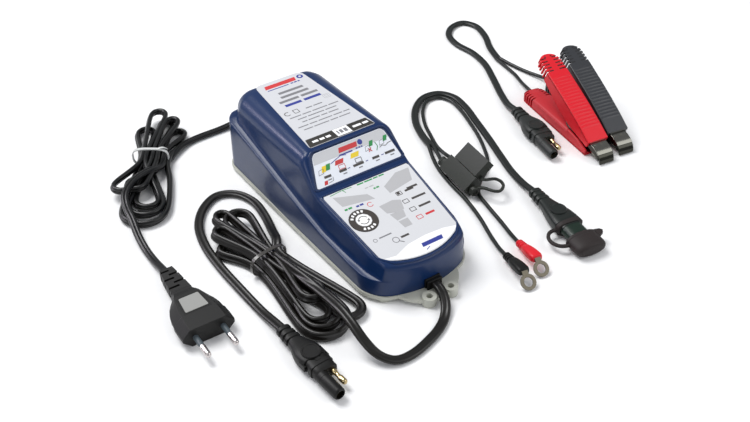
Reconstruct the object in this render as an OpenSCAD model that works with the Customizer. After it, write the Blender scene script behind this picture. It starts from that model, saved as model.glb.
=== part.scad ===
// Car battery charger: sealed charging unit with its mains lead and DC lead,
// and two loose leads that plug onto the DC lead (ring terminals and clamps).
// Origin on the table under the middle of the unit, DC end towards -Y.

/* [Unit] */
// Width of the lower housing
body_w = 84; // [80:1:88]
// Height of the top deck above the table
deck_z = 63; // [61:0.2:65]
// Shell thickness
wall = 2.2; // [1.8:0.1:2.4]
// Gap under the base plate, which its bosses stand on
foot_h = 2.5; // [2:0.1:3]
// Base plate thickness
plate_t = 2.5; // [2:0.1:3]
// Distance between the two mounting lugs
lug_pitch = 17; // [16:0.5:18]
// Screw hole in a mounting lug, diameter
lug_hole_d = 4.4; // [4:0.2:5]

/* [Control panel] */
// Touch button diameter
button_d = 19.5; // [17:0.5:20]
// Thickness of the printed panels
label_t = 0.5; // [0.4:0.1:0.6]

/* [Leads] */
// Mains cord, width and height of the flat twin
mains_size = [5.6, 3.6]; // [5:0.1:6]
// DC cord, width and height of the flat twin
dc_size = [6.6, 3.4]; // [6:0.1:7]
// Accessory twin cord, width and height
twin_size = [5.8, 3.0]; // [5:0.1:6]
// Single wire diameter
wire_d = 2.9; // [2.6:0.1:3.2]
// Ring terminal hole diameter
ring_hole_d = 6.4; // [6:0.1:6.6]

/* [Clamps] */
// Length of a clamp handle
handle_l = 90; // [88:1:92]
// Width of a clamp handle
handle_w = 18; // [17:0.5:19]
// Angle between the handles when the jaws are closed
handle_angle = 24; // [22:1:25]

/* [Hidden] */
$fn = 48;
case_z = foot_h + plate_t + 0.05;
half_w = body_w / 2;
front_y = -92;
rear_y = 105;
corner_r = 12;
lip = 0.8;
bow_r = 70;
narrowing = 1.8;
lug_y = -101;
lug_r = 4.8;
boss_at = [[-29, -80], [29, -80], [-32, 88], [32, 88]];
screw_d = 3;
board_z = 14;
gland_x = 10;
board_t = 1.6;
// Slopes of the control deck and of the program face, rise over run
deck_slope = 12.7 / 71.5;
program_slope = 17 / 16.2;

// Side profile of the top: [y, z], front to rear
TOP = [[-92, 25], [-91.2, 27.6], [-89.5, 28.9], [-87, 29.7], [-15.5, 42.4], [-13, 43.7],
       [-11, 44.6], [5.2, 61.6], [7, 62.6], [10, deck_z], [91, deck_z], [96, 62.4], [99, 60.8],
       [101, 57.6], [102, 52.5], [102.4, 45.8], [103, 45], [rear_y, 44.6]];
// Height of the shoulder ledge in the side wall
LEDGE = [[-92, 16.5], [-64, 16.8], [-24, 19.8], [33, 31], [63, 36.8], [rear_y, 44.6]];
// Width of the ledge
STEP = [[-92, 0.3], [-64, 1.6], [-20, 2.4], [rear_y, 2.6]];
// Half width of the flat deck
DECK = [[-92, 27.5], [-87, 30.5], [-79.6, 31.6], [-15.5, 35.4], [-11, 35.5], [5.2, 30],
        [10, 28], [97, 20.8], [102.4, 19], [rear_y, 18]];
// Half width where the upper wall meets its top corner
UPPER = [[-92, 31], [-79.6, 34.6], [-15.5, 37.4], [-11, 37.6], [10, 37], [60, 36.6], [91, 36.2],
         [98, 33.2], [102.4, 28], [rear_y, 26]];
// Height of the rounded top corner
ROUND = [[-92, 2], [-87, 3], [-15.5, 4], [-11, 5], [10, 12], [96, 13], [102.4, 6], [rear_y, 0.4]];

// Routes of the free cords, [x, y, z] on their centre lines
MAINS_LEAD = [[10, 124, 15], [9, 132, 13.5], [4, 139, 10], [-5, 144, 6], [-16, 146, 3],
              [-28, 146, 2], [-40, 146, 2], [-53, 145, 2], [-65, 140, 3.6], [-76, 132, 7]];
MAINS_TAIL = [[-128, 81, 8.6], [-132.5, 71, 7], [-134.6, 61, 4.4], [-135.6, 48, 2.2],
              [-136, 34, 2.6], [-136.4, 15, 6.6]];
DC_LEAD = [[0, -95, 9], [0, -101, 8.6], [-2, -109, 5.5], [-8, -117, 2.2], [-18, -124, 1.8],
           [-31, -129, 1.8], [-44, -132, 1.8], [-56, -131, 2.4], [-64, -124, 6], [-67, -113, 11],
           [-67, -100, 15], [-66, -88, 16.5]];
DC_TAIL = [[-65, -9, 9], [-61, 0, 6.5], [-55, 18, 2], [-51, 36, 1.8], [-50, 52, 1.8],
           [-56, 67, 1.8], [-68, 73, 1.8], [-82, 66, 1.8], [-94, 51, 1.8], [-100.5, 30, 1.8],
           [-102.5, 5, 1.8], [-102, -22, 1.8], [-101, -48, 2], [-100.5, -61, 4], [-100, -71.6, 5.6]];
CLAMP_CORD = [[177, 32.6, 5.6], [180, 45, 3], [187, 62, 1.6], [197, 84, 1.6], [206, 106, 1.6],
              [209, 126, 1.6], [207, 146, 1.6], [211, 162, 1.6], [222, 172, 1.6],
              [235, 173, 1.6], [241, 162, 1.6], [237, 144, 1.6], [227, 124, 1.6],
              [221, 106, 1.6]];
BLACK_WIRE = [[222.4, 107, 1.6], [224, 92, 1.5], [227, 76, 1.6], [229.6, 63, 2.8], [229.5, 52, 5],
              [228.5, 43, 5], [227, 34, 5]];
RED_WIRE = [[219.6, 107, 1.6], [218, 92, 1.5], [216, 78, 1.5], [211, 64, 2.8], [206.9, 53, 5],
            [205.3, 43, 5], [204, 34, 5]];
RING_CORD = [[118.6, -55, 5.6], [121, -42, 3], [125, -24, 1.6], [131, -4, 1.6], [138, 18, 1.6],
             [145, 42, 1.6], [151, 64, 1.6], [152, 80, 1.6], [145, 91, 1.6], [132, 93, 1.6],
             [117, 84, 1.6], [105, 68, 1.6], [98, 50, 2], [94.5, 34, 3]];
FEED_WIRE = [[96, 35, 3], [93.2, 27, 4.2], [90, 19.5, 5.4], [87, 12.5, 6.4], [86.4, 9.5, 6.5]];
NEGATIVE_WIRE = [[93, 35, 3], [88, 24, 1.9], [83.2, 11, 1.5], [80.2, -2, 1.5], [78.2, -15, 1.5],
                 [76.8, -28, 1.5], [74.4, -41, 1.5], [70.6, -56, 1.5],
                 [65, -73, 1.6], [60.5, -88, 2.6], [58.6, -96, 4]];
POSITIVE_WIRE = [[90.3, 2.4, 10.8], [91.2, 10.5, 9.4], [92.8, 16.5, 7.4], [95.4, 25, 4.8],
                 [98.8, 34, 2.4], [103.4, 46, 1.6], [109.6, 62, 1.6],
                 [120.5, 79, 1.6], [132, 87.4, 1.6], [142, 86, 1.6], [146.6, 77, 1.6],
                 [145.4, 64, 1.6], [140, 44, 1.6], [134, 26, 1.6], [127, 10, 1.5], [119, -4, 1.5],
                 [109, -14, 1.5], [97, -22, 1.5], [88, -32, 1.5], [84.4, -46, 1.5],
                 [81, -64, 1.5], [76.6, -82, 2.4], [74.2, -91, 4]];

// ---- shared helpers ----

// Direction between two points, and the frame of a tube ring at point i
function unit(v) = v / norm(v);
function heading(path, i) = unit(path[min(i + 1, len(path) - 1)] - path[max(i - 1, 0)]);

// Eight-sided flat tube along a path, size = [width, height]
module tube(path, size) {
    sides = 8;
    points = [for (i = [0:len(path) - 1], k = [0:sides - 1])
        let (t = heading(path, i), side = unit(cross(t, [0, 0, 1])), up = cross(side, t),
             a = 22.5 + 45 * k, s = 1 / cos(22.5))
        path[i] + side * cos(a) * s * size[0] / 2 + up * sin(a) * s * size[1] / 2];
    rings = len(path);
    skin = [for (i = [0:rings - 2], k = [0:sides - 1])
        [i * sides + k, (i + 1) * sides + k,
         (i + 1) * sides + (k + 1) % sides, i * sides + (k + 1) % sides]];
    polyhedron(points, concat(skin, [[for (k = [0:sides - 1]) k]],
        [[for (k = [0:sides - 1]) rings * sides - 1 - k]]), convexity = 6);
}

// Outline with round ends, w by h
module stadium(w, h) {
    square([w - h, h], center = true);
    for (s = [-1, 1]) translate([s * (w - h) / 2, 0]) circle(d = h);
}

// Bar of stadium section along +X
module bar(w, h, length) {
    rotate([90, 0, 90]) linear_extrude(length) stadium(w, h);
}

// Rounded rectangle, centred
module rounded(w, l, r) {
    square([w - 2 * r, l], center = true);
    square([w, l - 2 * r], center = true);
    for (x = [-1, 1], y = [-1, 1]) translate([x * (w / 2 - r), y * (l / 2 - r)]) circle(r);
}

// Place children at a point, pointing their +X along the given heading in degrees
module lay(at, turn) {
    translate(at) rotate([0, 0, turn]) children();
}

// ---- housing ----

function round_end(d, r) = r - sqrt(max(0, r * r - d * d));
function bow(x) = bow_r - sqrt(bow_r * bow_r - x * x);
function bow_part(y) = y > -20 ? 0 : y < -76 ? 1 : (-20 - y) / 56;
// Narrowing of the lower housing towards the front
function taper(y) = max(0, 20 - y) / 112 * narrowing;
function low_w(y) = half_w - taper(y)
    - round_end(max(0, front_y + corner_r - y, y - rear_y + corner_r), corner_r);

// Height of the top at station y, set in by t from above and from behind
function roof(y, t) = lookup(y > 91 ? y + t : y, TOP) - t;

// Half section at station y, shrunk by t: [x, z] from the bottom edge to the centre line
function half_section(y, t) =
    let (zt = roof(y, t), zl = min(lookup(y, LEDGE), zt - 0.6) - t * 0.5,
         w = low_w(y) - t, step = lookup(y, STEP),
         wu = min(w - 0.9 - step, lookup(y, UPPER) + 1.2 - t),
         wa = min(wu - 0.3, lookup(y, UPPER) - t),
         wd = min(wa - 0.6, lookup(y, DECK) - t * 0.6),
         rz = min(lookup(y, ROUND), zt - zl - 0.4))
    concat([[w, case_z], [w - 0.5, zl - 2], [w - 0.8, zl - 0.7], [w - 1.4, zl],
            [wu, zl + 0.15]],
           [for (a = [0:15:90]) [wd + (wa - wd) * cos(a), zt - rz + rz * sin(a)]],
           [[wd * 0.5, zt]]);

// One ring of points across the body, bowed at the front
function ring(y, t, s) =
    let (h = half_section(y, t), n = len(h),
         all = concat([for (p = h) [p[0] * s, case_z + (p[1] - case_z) * s]],
                      [for (i = [n - 1:-1:0]) [-h[i][0] * s, case_z + (h[i][1] - case_z) * s]]))
    [for (p = all) let (back = bow(p[0]) * bow_part(y))
        [p[0], y + back, p[1] + back * deck_slope * (p[1] - case_z) / (lookup(y, TOP) - case_z)]];

// Closed solid through the rings
module loft(rings) {
    n = len(rings[0]);
    m = len(rings);
    points = [for (r = rings, p = r) p];
    skin = [for (i = [0:m - 2], k = [0:n - 1])
        [i * n + k, i * n + (k + 1) % n, (i + 1) * n + (k + 1) % n, (i + 1) * n + k]];
    triangles = [for (q = skin, f = [[q[0], q[1], q[2]], [q[0], q[2], q[3]]]) f];
    front = [for (k = [1:n - 2]) [0, k + 1, k]];
    polyhedron(points, concat(triangles, front, [[for (k = [0:n - 1]) (m - 1) * n + k]]),
        convexity = 8);
}

STATIONS = [-91.2, -89.5, -87, -84, -80, -74, -60, -40, -20, -15.5, -13, -11, -3, 5.2, 7, 10,
            40, 65, 85, 91, 94, 96, 98, 99, 101, 102, 102.4, 103, 103.8, 104.6];

module case_solid(t) {
    y0 = front_y + t;
    loft(concat([for (s = [0.15, 0.45, 0.8, 1]) ring(y0, t, s)],
                [for (y = STATIONS) if (y > y0 + 0.3 && y < rear_y - t - 0.2) ring(y, t, 1)],
                [ring(rear_y - t, t, 1)]));
}

// One side of the foot of the housing in plan, grown by the lip of the base plate
function foot_edge(y) =
    [low_w(y) + lip, y + bow(low_w(y)) * bow_part(y) + (y < 0 ? -lip : lip)];

// Plan of the base plate
module plate_plan() {
    edge = [for (y = concat([front_y], STATIONS, [rear_y])) foot_edge(y)];
    polygon(concat([for (x = [-24:8:24]) [x, front_y - lip + bow(x)]], edge,
                   [for (i = [len(edge) - 1:-1:0]) [-edge[i][0], edge[i][1]]]));
}

module gland_notch() {
    translate([-6.6, front_y - 8, 0]) cube([13.2, 16, 13.1]);
}

module top_case() {
    color("#24406f") difference() {
        union() {
            difference() {
                case_solid(0);
                translate([0, 0, -0.5]) case_solid(wall);
            }
            for (p = boss_at) translate([p[0], p[1], case_z])
                cylinder(d = 8, h = (p[1] < 0 ? 29.6 : 48) - case_z);
        }
        for (p = boss_at) translate([p[0], p[1], 0]) cylinder(d = screw_d + 0.2, h = 16);
        gland_notch();
        translate([gland_x, rear_y - 10, 15]) rotate([-90, 0, 0]) cylinder(d = 11.2, h = 20);
        on_control() {
            translate([button_at[0], button_at[1], -8]) cylinder(d = button_d + 1, h = 12);
            for (w = WINDOWS) translate([w[0], w[1], -2])
                cube([w[2] - 2, w[3] - 2, 12], center = true);
        }
    }
}

module base_plate() {
    color("#c8c9c0") difference() {
        union() {
            translate([0, 0, foot_h]) linear_extrude(plate_t) {
                plate_plan();
                translate([0, -80]) circle(25);
            }
            for (p = boss_at) translate([p[0], p[1], 0]) cylinder(d = 10, h = foot_h + 1);
            for (s = [-1, 1]) translate([s * lug_pitch / 2, lug_y, 0])
                cylinder(r = lug_r, h = 6.6);
            for (x = [-24, 24], y = [-50, 80]) translate([x, y, foot_h])
                cylinder(d = 6, h = board_z - foot_h - 0.05);
        }
        for (p = boss_at) translate([p[0], p[1], -1]) {
            cylinder(d = screw_d + 0.4, h = 20);
            cylinder(d = 6.4, h = 3.4);
        }
        for (s = [-1, 1]) translate([s * lug_pitch / 2, lug_y, -1])
            cylinder(d = lug_hole_d, h = 12);
    }
}

module case_screws() {
    color("#9a9a9a") for (p = boss_at) translate([p[0], p[1], 0]) difference() {
        union() {
            translate([0, 0, 0.4]) cylinder(d = 5.6, h = 2);
            cylinder(d = screw_d, h = 15);
        }
        for (a = [0, 90]) rotate([0, 0, a]) translate([0, 0, 0.6])
            cube([3.6, 0.8, 1.6], center = true);
    }
}

// ---- printed panels ----

control_tilt = atan(deck_slope);
program_tilt = atan(program_slope);
// Grey light windows of the control panel: [x, y, width, height] from its centre
WINDOWS = [[-16.5, 24, 19, 6], [17.5, 24.5, 18, 8], [1.2, 6, 10, 6.5], [1.5, -2, 7, 5],
           [1.5, -9.7, 5.4, 5]];
button_at = [-21.4, 5];

// Frame on the control panel: origin at its middle on the deck surface
module on_control() {
    translate([0, -51.25, (42.4 + 29.7) / 2]) rotate([control_tilt, 0, 0]) children();
}

module on_program() {
    translate([0, -2.9, (61.6 + 44.6) / 2]) rotate([program_tilt, 0, 0]) children();
}

// Panel outline: wide at the top, rounded corners and a bowed lower edge
module control_outline() {
    intersection() {
        polygon([[-34, 35], [34, 35], [29.8, -40], [-29.8, -40]]);
        translate([0, 15]) circle(r = 52.6, $fn = 96);
        rounded(68, 80, 4);
    }
}

module program_outline() {
    polygon([[-26, 11.6], [26, 11.6], [28.6, 9.6], [34, -11.4], [-34, -11.4], [-28.6, 9.6]]);
}

module top_label() {
    color("#e4e5e8") translate([0, 0, deck_z + 0.05]) linear_extrude(label_t) intersection() {
        polygon([[-26.2, 9.8], [26.2, 9.8], [19.2, 96.4], [-19.2, 96.4]]);
        translate([0, 40]) rounded(56, 112.8, 4);
    }
}

module program_panel() {
    color("#e8ecf2") on_program() translate([0, 0, 0.08]) linear_extrude(label_t)
        program_outline();
}

module control_panel() {
    color("#dddfe2") on_control() translate([0, 0, 0.08]) linear_extrude(label_t)
        difference() {
            control_outline();
            translate(button_at) circle(d = button_d + 0.4);
        }
}

module touch_button() {
    color("#3c3733") on_control() translate([button_at[0], button_at[1], 0]) {
        translate([0, 0, -0.9]) cylinder(d = button_d, h = 2);
        translate([0, 0, -2.9]) cylinder(d = 6, h = 2);
    }
}

module touch_switch() {
    color("#2b2b2b") on_control() translate([button_at[0], button_at[1], 0]) {
        translate([0, 0, -6.9]) linear_extrude(2.4) square(7, center = true);
        translate([0, 0, -4.5]) cylinder(d = 3.4, h = 0.9);
    }
}

module led_board() {
    color("#1f5a35") on_control() translate([0, 6, -8.6]) linear_extrude(board_t)
        square([62, 50], center = true);
}

// Light guides behind the grey windows, with an LED under each
module led_windows() {
    color("#aeb1b4") on_control() for (w = WINDOWS) translate([w[0], w[1], -2.2]) {
        translate([0, 0, -0.4]) cube([w[2] - 3, w[3] - 3, 4], center = true);
        translate([0, 0, -3.4]) cube([3, 2, 2.4], center = true);
    }
}

// ---- electronics inside ----

module circuit_board() {
    color("#1f5a35") translate([0, 15, board_z]) linear_extrude(board_t) difference() {
        square([66, 140], center = true);
        for (x = [-31, 31]) translate([x, 73]) circle(d = 12);
    }
}

module transformer_core() {
    color("#4a4643") translate([-10, 52, board_z + board_t + 0.05]) difference() {
        translate([-16, -14, 0]) cube([32, 28, 26]);
        for (s = [-1, 1]) translate([s * 8.5, 0, 13]) cube([7, 30, 16], center = true);
    }
}

module transformer_coil() {
    color("#c9a03a") translate([-10, 52, board_z + board_t + 13.05]) difference() {
        cube([23, 36, 15], center = true);
        cube([10.4, 40, 40], center = true);
    }
}

module capacitors() {
    color("#23252b") for (c = [[20, 62, 16, 26], [-18, 12, 13, 22], [-2, 12, 13, 22], [4, -24, 10, 12],
                               [-10, -24, 10, 12]])
        translate([c[0], c[1], board_z + board_t + 0.05]) cylinder(d = c[2], h = c[3]);
}

module heatsink() {
    color("#b9bcc0") translate([20, 4, board_z + board_t + 0.05]) {
        translate([4, 0, 0]) cube([2.5, 44, 17]);
        for (i = [0:4]) translate([6.4, 2 + i * 9.5, 0]) cube([5, 2, 17]);
    }
}

module power_transistors() {
    color("#1d1d1f") for (y = [14, 32]) translate([19.35, y, board_z + board_t + 1.5])
        cube([4.6, 10, 14]);
}

// ---- glands ----

module mains_gland() {
    color("#1c1e1f") translate([gland_x, rear_y, 15]) rotate([-90, 0, 0]) difference() {
        union() {
            translate([0, 0, -5]) cylinder(d = 13.6, h = 2.6);
            translate([0, 0, -5]) cylinder(d = 11, h = 5.4);
            translate([0, 0, 0.2]) cylinder(d = 13, h = 3);
            translate([0, 0, 3]) cylinder(d1 = 11.5, d2 = 7.4, h = 17);
        }
        for (i = [0:2], s = [-1, 1]) translate([0, s * 5.6, 6.4 + i * 4.6])
            cube([20, 3, 1.4], center = true);
    }
}

module dc_gland() {
    color("#2a2725") {
        translate([-6.4, front_y - 3.4, 5.15]) cube([12.8, 9, 7.8]);
        translate([-7.8, front_y + 4.2, 5.15]) cube([15.6, 3, 9]);
    }
}

// ---- mains lead ----

// Hank outline: round ends a and b, waist radius w
module hank_outline(a, ra, b, rb, tie, w) {
    hull() {
        translate(a) circle(ra);
        translate(tie) circle(w);
    }
    hull() {
        translate(b) circle(rb);
        translate(tie) circle(w);
    }
}

// Thin tie round a waist, turned to lie across the hank
module hank_tie(at, turn, w, h, band) {
    lay([at[0], at[1], 0], turn) translate([-band / 2, 0, h / 2]) difference() {
        bar(w + 2.4, h, band);
        translate([-1, 0, 0]) bar(w, h - 2.4, band + 2);
    }
}

module mains_cord_lead() { color("#202424") tube(MAINS_LEAD, mains_size); }
module mains_cord_tail() { color("#202424") tube(MAINS_TAIL, mains_size); }

module mains_hank() {
    color("#202424") translate([0, 0, 1.3]) linear_extrude(13.4)
        hank_outline([-64, 172], 15, [-119, 92], 20, [-90, 135], 12.5);
}

module mains_tie() {
    color("#d9dcdc") hank_tie([-90, 135], 55, 25.4, 16, 2);
}

module plug_body() {
    color("#2a2d2d") lay([-136.4, 14, 6.85], -91.4) {
        bar(8, 6.4, 6);
        for (i = [0:2]) translate([4.5 + i * 7, 0, 0]) bar(10.5 + i * 1.2, 8.2, 4.4);
        translate([4, 0, 0]) bar(8.6, 6.6, 24);
        hull() {
            translate([27, 0, 0]) bar(14.5, 9.6, 1);
            translate([47, 0, 0]) bar(33.6, 12.6, 1);
        }
        translate([47, 0, 0]) bar(35.3, 13.7, 17);
        translate([36, -7, 5]) cube([17, 14, 2.6]);
    }
}

module plug_pins() {
    color("#c9c9c9") lay([-136.4, 14, 6.85], -91.4) for (s = [-1, 1]) translate([64.05, s * 9.3, 0])
        rotate([0, 90, 0]) {
            cylinder(r = 2, h = 17);
            translate([0, 0, 17]) sphere(2);
        }
}

// ---- DC lead ----

module dc_cord_lead() { color("#262420") tube(DC_LEAD, dc_size); }
module dc_cord_tail() { color("#262420") tube(DC_TAIL, dc_size); }

module dc_hank() {
    color("#262420") translate([0, 0, 1.3]) linear_extrude(14.4)
        hank_outline([-80, 27], 15.5, [-68, -76], 20, [-76, -15], 13);
}

module dc_tie() {
    color("#23211e") hank_tie([-76, -15], 98, 26.4, 17, 2.2);
}

// Two-pole connector along +X: cord end at the origin, pin side on +Y
conn_l = 65;
module connector() {
    difference() {
        union() {
            for (i = [0:2]) translate([0.6 + i * 4.6, 0, 0]) bar(9.4 + i * 0.5, 7, 3);
            bar(7.6, 5.6, 15);
            hull() {
                translate([13.6, 0, 0]) bar(10, 7, 1);
                translate([27, 0, 0]) bar(17.6, 10, 1);
            }
            translate([27, 0, 0]) bar(17.6, 10, 8);
            translate([31, 0, 4]) cylinder(d = 12, h = 2);
            translate([34, 0, 0]) bar(15, 9, 6);
            translate([39, 0, 0]) bar(16.6, 10, 3);
            translate([41, 0, 0]) bar(15, 9, 6);
            translate([40, -4, 0]) rotate([0, 90, 0]) cylinder(d = 8.4, h = conn_l - 40);
        }
        translate([46, -4, 0]) rotate([0, 90, 0]) cylinder(r = 2.9, h = 40);
        translate([44, 4, 0]) rotate([0, 90, 0]) cylinder(r = 1.35, h = 20);
    }
}

// Brass bullet and the socket liner beside it
module contacts() {
    translate([44.1, 4, 0]) rotate([0, 90, 0]) {
        cylinder(r = 1.3, h = 4);
        translate([0, 0, 2.95]) cylinder(r = 2, h = 11.05);
        translate([0, 0, 14]) sphere(2);
    }
    translate([46.1, -4, 0]) rotate([0, 90, 0]) difference() {
        cylinder(r = 2.85, h = 16);
        translate([0, 0, 2]) cylinder(r = 2.1, h = 20);
    }
}

DC_CONN = [[-100, -72, 5.6], -86];
CLAMP_CONN = [[177, 32, 5.6], -101];
RING_CONN = [[118.6, -55.6, 5.6], -98];

module dc_connector() { color("#1b1b1a") lay(DC_CONN[0], DC_CONN[1]) connector(); }
module dc_contacts() { color("#b9a878") lay(DC_CONN[0], DC_CONN[1]) contacts(); }

// ---- clamp lead ----

module clamp_connector() { color("#333836") lay(CLAMP_CONN[0], CLAMP_CONN[1]) connector(); }
module clamp_contacts() { color("#b9a878") lay(CLAMP_CONN[0], CLAMP_CONN[1]) contacts(); }
module clamp_cord() { color("#262b29") tube(CLAMP_CORD, twin_size); }
module red_wire() { color("#262b29") tube(RED_WIRE, [wire_d, wire_d]); }
module black_wire() { color("#262b29") tube(BLACK_WIRE, [wire_d, wire_d]); }

// Clamp frame: +X from the handle ends to the jaws, +Z up, standing on its lower handle
pivot = [66, 0, 12];
ear_in = 10.6;
ear_out = 13.6;
RED_CLAMP = [[206, 49, 0], -98];
BLACK_CLAMP = [[229.5, 49, 0], -99.5];

// Side outline of a handle, extruded across the clamp
module across(w) {
    translate([0, w / 2, 0]) rotate([90, 0, 0]) linear_extrude(w) children();
}

// Plan of a handle: round tail end at x
module handle_plan(x) {
    translate([x + handle_w / 2, 0]) circle(handle_w / 2);
    translate([x + handle_w / 2, -handle_w / 2]) square([handle_l, handle_w]);
}

// Frame of the upper half: origin on the pivot, tilted with the upper handle
module on_upper() {
    translate(pivot) rotate([0, handle_angle, 0]) children();
}

module pivot_hole() {
    rotate([90, 0, 0]) cylinder(r = 1.55, h = 30, center = true);
}

module lower_handle() {
    difference() {
        intersection() {
            across(handle_w) polygon([[0, 1.6], [2, 0], [handle_l, 0], [handle_l, 5.6],
                                      [80, 8], [52, 9.6], [20, 9.2], [2, 8], [0, 6]]);
            linear_extrude(20) handle_plan(0);
        }
        across(handle_w - 3.4) polygon([[8, 2], [handle_l + 1, 2], [handle_l + 1, 20], [6, 20]]);
        translate([-1, 0, 5]) rotate([0, 90, 0]) cylinder(d = 3.6, h = 12);
    }
}

module upper_handle() {
    on_upper() difference() {
        intersection() {
            across(handle_w) polygon([[-60, 11], [-58, 12.4], [-40, 14], [-10, 14.4], [10, 13.6],
                                      [24, 12.2], [24, 6.4], [10, 3.6], [0, 1.6], [-14, 1.2],
                                      [-40, 4.6], [-58, 6.6], [-60, 8.4]]);
            linear_extrude(20) handle_plan(-60);
        }
        across(handle_w - 3.4) polygon([[-54, 0], [-52, 11], [-38, 12.2], [-12, 12.6],
                                        [-10.2, 10.5], [26, 10.5], [26, 0]]);
    }
}

// Sheet-metal jaw with two ears on the pivot and a turned-up end
module lower_jaw() {
    difference() {
        union() {
            across(ear_in) polygon([[18, 2.1], [100, 2.1], [101.6, 3.4], [101.6, 5.6],
                                    [100.6, 5.6], [100, 3.3], [18, 3.3]]);
            translate([18, -2.6, 3.2]) cube([9, 5.2, 3.6]);
            for (s = [-1, 1]) translate([0, s * (ear_in / 2 - 0.6), 0]) across(1.2)
                polygon([[56, 2.2], [82, 2.2], [76, 7], [71, 14], [69, 15.4], [63, 15.4],
                         [61, 14]]);
        }
        translate(pivot) pivot_hole();
    }
}

// The upper jaw reaches over the lower one and hooks down in front of it
module upper_jaw() {
    on_upper() difference() {
        union() {
            across(ear_out) polygon([[-10, 10.4], [24, 10.4], [31, 11.6], [36.5, 10.6], [40, 8.2],
                                     [41.6, 5.8], [40.6, 5.4], [39, 7.6], [36, 9.6], [31, 10.5],
                                     [24, 9.3], [-10, 9.3]]);
            for (s = [-1, 1]) translate([0, s * (ear_out / 2 - 0.6), 0]) across(1.2)
                polygon([[-9, 9.6], [16, 9.6], [5, -2.4], [3, -3.6], [-3, -3.6], [-5, -2.4]]);
        }
        pivot_hole();
    }
}

module pivot_pin() {
    translate(pivot) rotate([90, 0, 0]) cylinder(r = 1.5, h = ear_out + 1, center = true);
}

// Torsion spring round the pivot with one leg on each jaw
module jaw_spring() {
    translate(pivot) rotate([90, 0, 0]) difference() {
        cylinder(d = 6.6, h = 8, center = true);
        cylinder(d = 4.4, h = 10, center = true);
    }
    spring_leg([64, 3, 9.4], [50, 3, 3.9]);
    spring_leg([64, -3, 14.6], [59.8, -3, 23.8]);
}

module spring_leg(from, to) {
    d = to - from;
    translate(from) rotate([0, atan2(d[0], d[2]), 0]) cylinder(d = 1.1, h = norm(d));
}

module clamp(place) { lay(place[0], place[1]) children(); }

// ---- ring terminal lead ----

module ring_connector() { color("#16241d") lay(RING_CONN[0], RING_CONN[1]) connector(); }
module ring_contacts() { color("#b9a878") lay(RING_CONN[0], RING_CONN[1]) contacts(); }

module weather_cap() {
    color("#3a302f") lay(RING_CONN[0], RING_CONN[1]) translate([56, 0, 0]) difference() {
        bar(24, 11, 16.5);
        translate([-1, -4, 0]) rotate([0, 90, 0]) cylinder(r = 4.3, h = 10.4);
        translate([-1, 4, 0]) rotate([0, 90, 0]) cylinder(r = 2.5, h = 9);
    }
}

// Collar on the connector and the strap that keeps the cap
module cap_tether() {
    color("#3a302f") lay(RING_CONN[0], RING_CONN[1]) {
        translate([42.2, 0, 0]) difference() {
            bar(19, 11.2, 3.4);
            translate([-1, 0, 0]) bar(15.1, 9.1, 6);
        }
        translate([53, -10.6, -1.4]) linear_extrude(2.8) difference() {
            circle(9.4);
            circle(7);
            translate([0.6, -1.7]) square([20, 20]);
            translate([-7, -0.4]) square([20, 20]);
        }
    }
}

module ring_cord() {
    color("#1f2624") {
        tube(RING_CORD, twin_size);
        tube(FEED_WIRE, [wire_d, wire_d]);
    }
}

module positive_wire() { color("#1f2624") tube(POSITIVE_WIRE, [wire_d, wire_d]); }
module negative_wire() { color("#1f2624") tube(NEGATIVE_WIRE, [wire_d, wire_d]); }

// Fuse holder frame: +X along the holder from its cord end, cap on +Y.
// The holder lies on its edge, rolled so that the cap points up and away from the unit.
fuse_at = [87.2, 3.4, 7.65];
fuse_turn = -95.5;
fuse_roll = 40;

module on_fuse() {
    translate(fuse_at) rotate([fuse_roll, 0, fuse_turn]) children();
}

module fuse_holder() {
    color("#353834") on_fuse() difference() {
        union() {
            translate([0, -6.5, -4.5]) cube([33, 13, 9]);
            translate([-7, -1.8, 0]) bar(8, 5.6, 8);
            translate([32, -1.6, -0.4]) rotate([0, 90, 0]) cylinder(d = 7, h = 5);
        }
        translate([7.1, 2.4, -2.8]) cube([21, 6, 5.6]);
    }
}

module fuse_cap() {
    color("#3b3c38") {
        on_fuse() difference() {
            translate([4, 6.7, -3.1]) cube([27.2, 14.8, 7.6]);
            translate([6, 6, -1.7]) cube([23.2, 13.5, 4.8]);
        }
        translate([0, 0, 10]) linear_extrude(2) fuse_strap();
    }
}

// Plan of the strap that keeps the cap: a level loop and its link to the cap
module fuse_strap() {
    translate([98, -37]) difference() {
        circle(7.6);
        circle(5.4);
    }
    hull() {
        translate([92.4, -27.4]) circle(1.1);
        translate([94.6, -31.4]) circle(1.1);
    }
}

module blade_fuse() {
    color("#c65a3a") on_fuse() {
        translate([8.1, 9, -1.6]) cube([19, 9.6, 4.6]);
        for (x = [9.6, 20.2]) translate([x, 2.7, 0.3]) cube([5.2, 6.4, 0.8]);
    }
}

POS_RING = [[74.2, -91.4, 4], -100.6];
NEG_RING = [[58.6, -96.4, 4], -100.4];
// Rise of a boot from its wire, and droop of the ring in front of it
boot_rise = 11;
ring_droop = 38;

module boot() {
    rotate([0, -boot_rise, 0]) {
        hull() {
            bar(4.6, 4.4, 1);
            translate([14, 0, 0]) bar(8.6, 6.6, 4);
        }
        translate([17, 0, 0]) bar(8.4, 6.2, 7);
    }
}

module positive_boot() { color("#dd2f42") lay(POS_RING[0], POS_RING[1]) boot(); }
module negative_boot() { color("#2a2d2c") lay(NEG_RING[0], NEG_RING[1]) boot(); }

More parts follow.
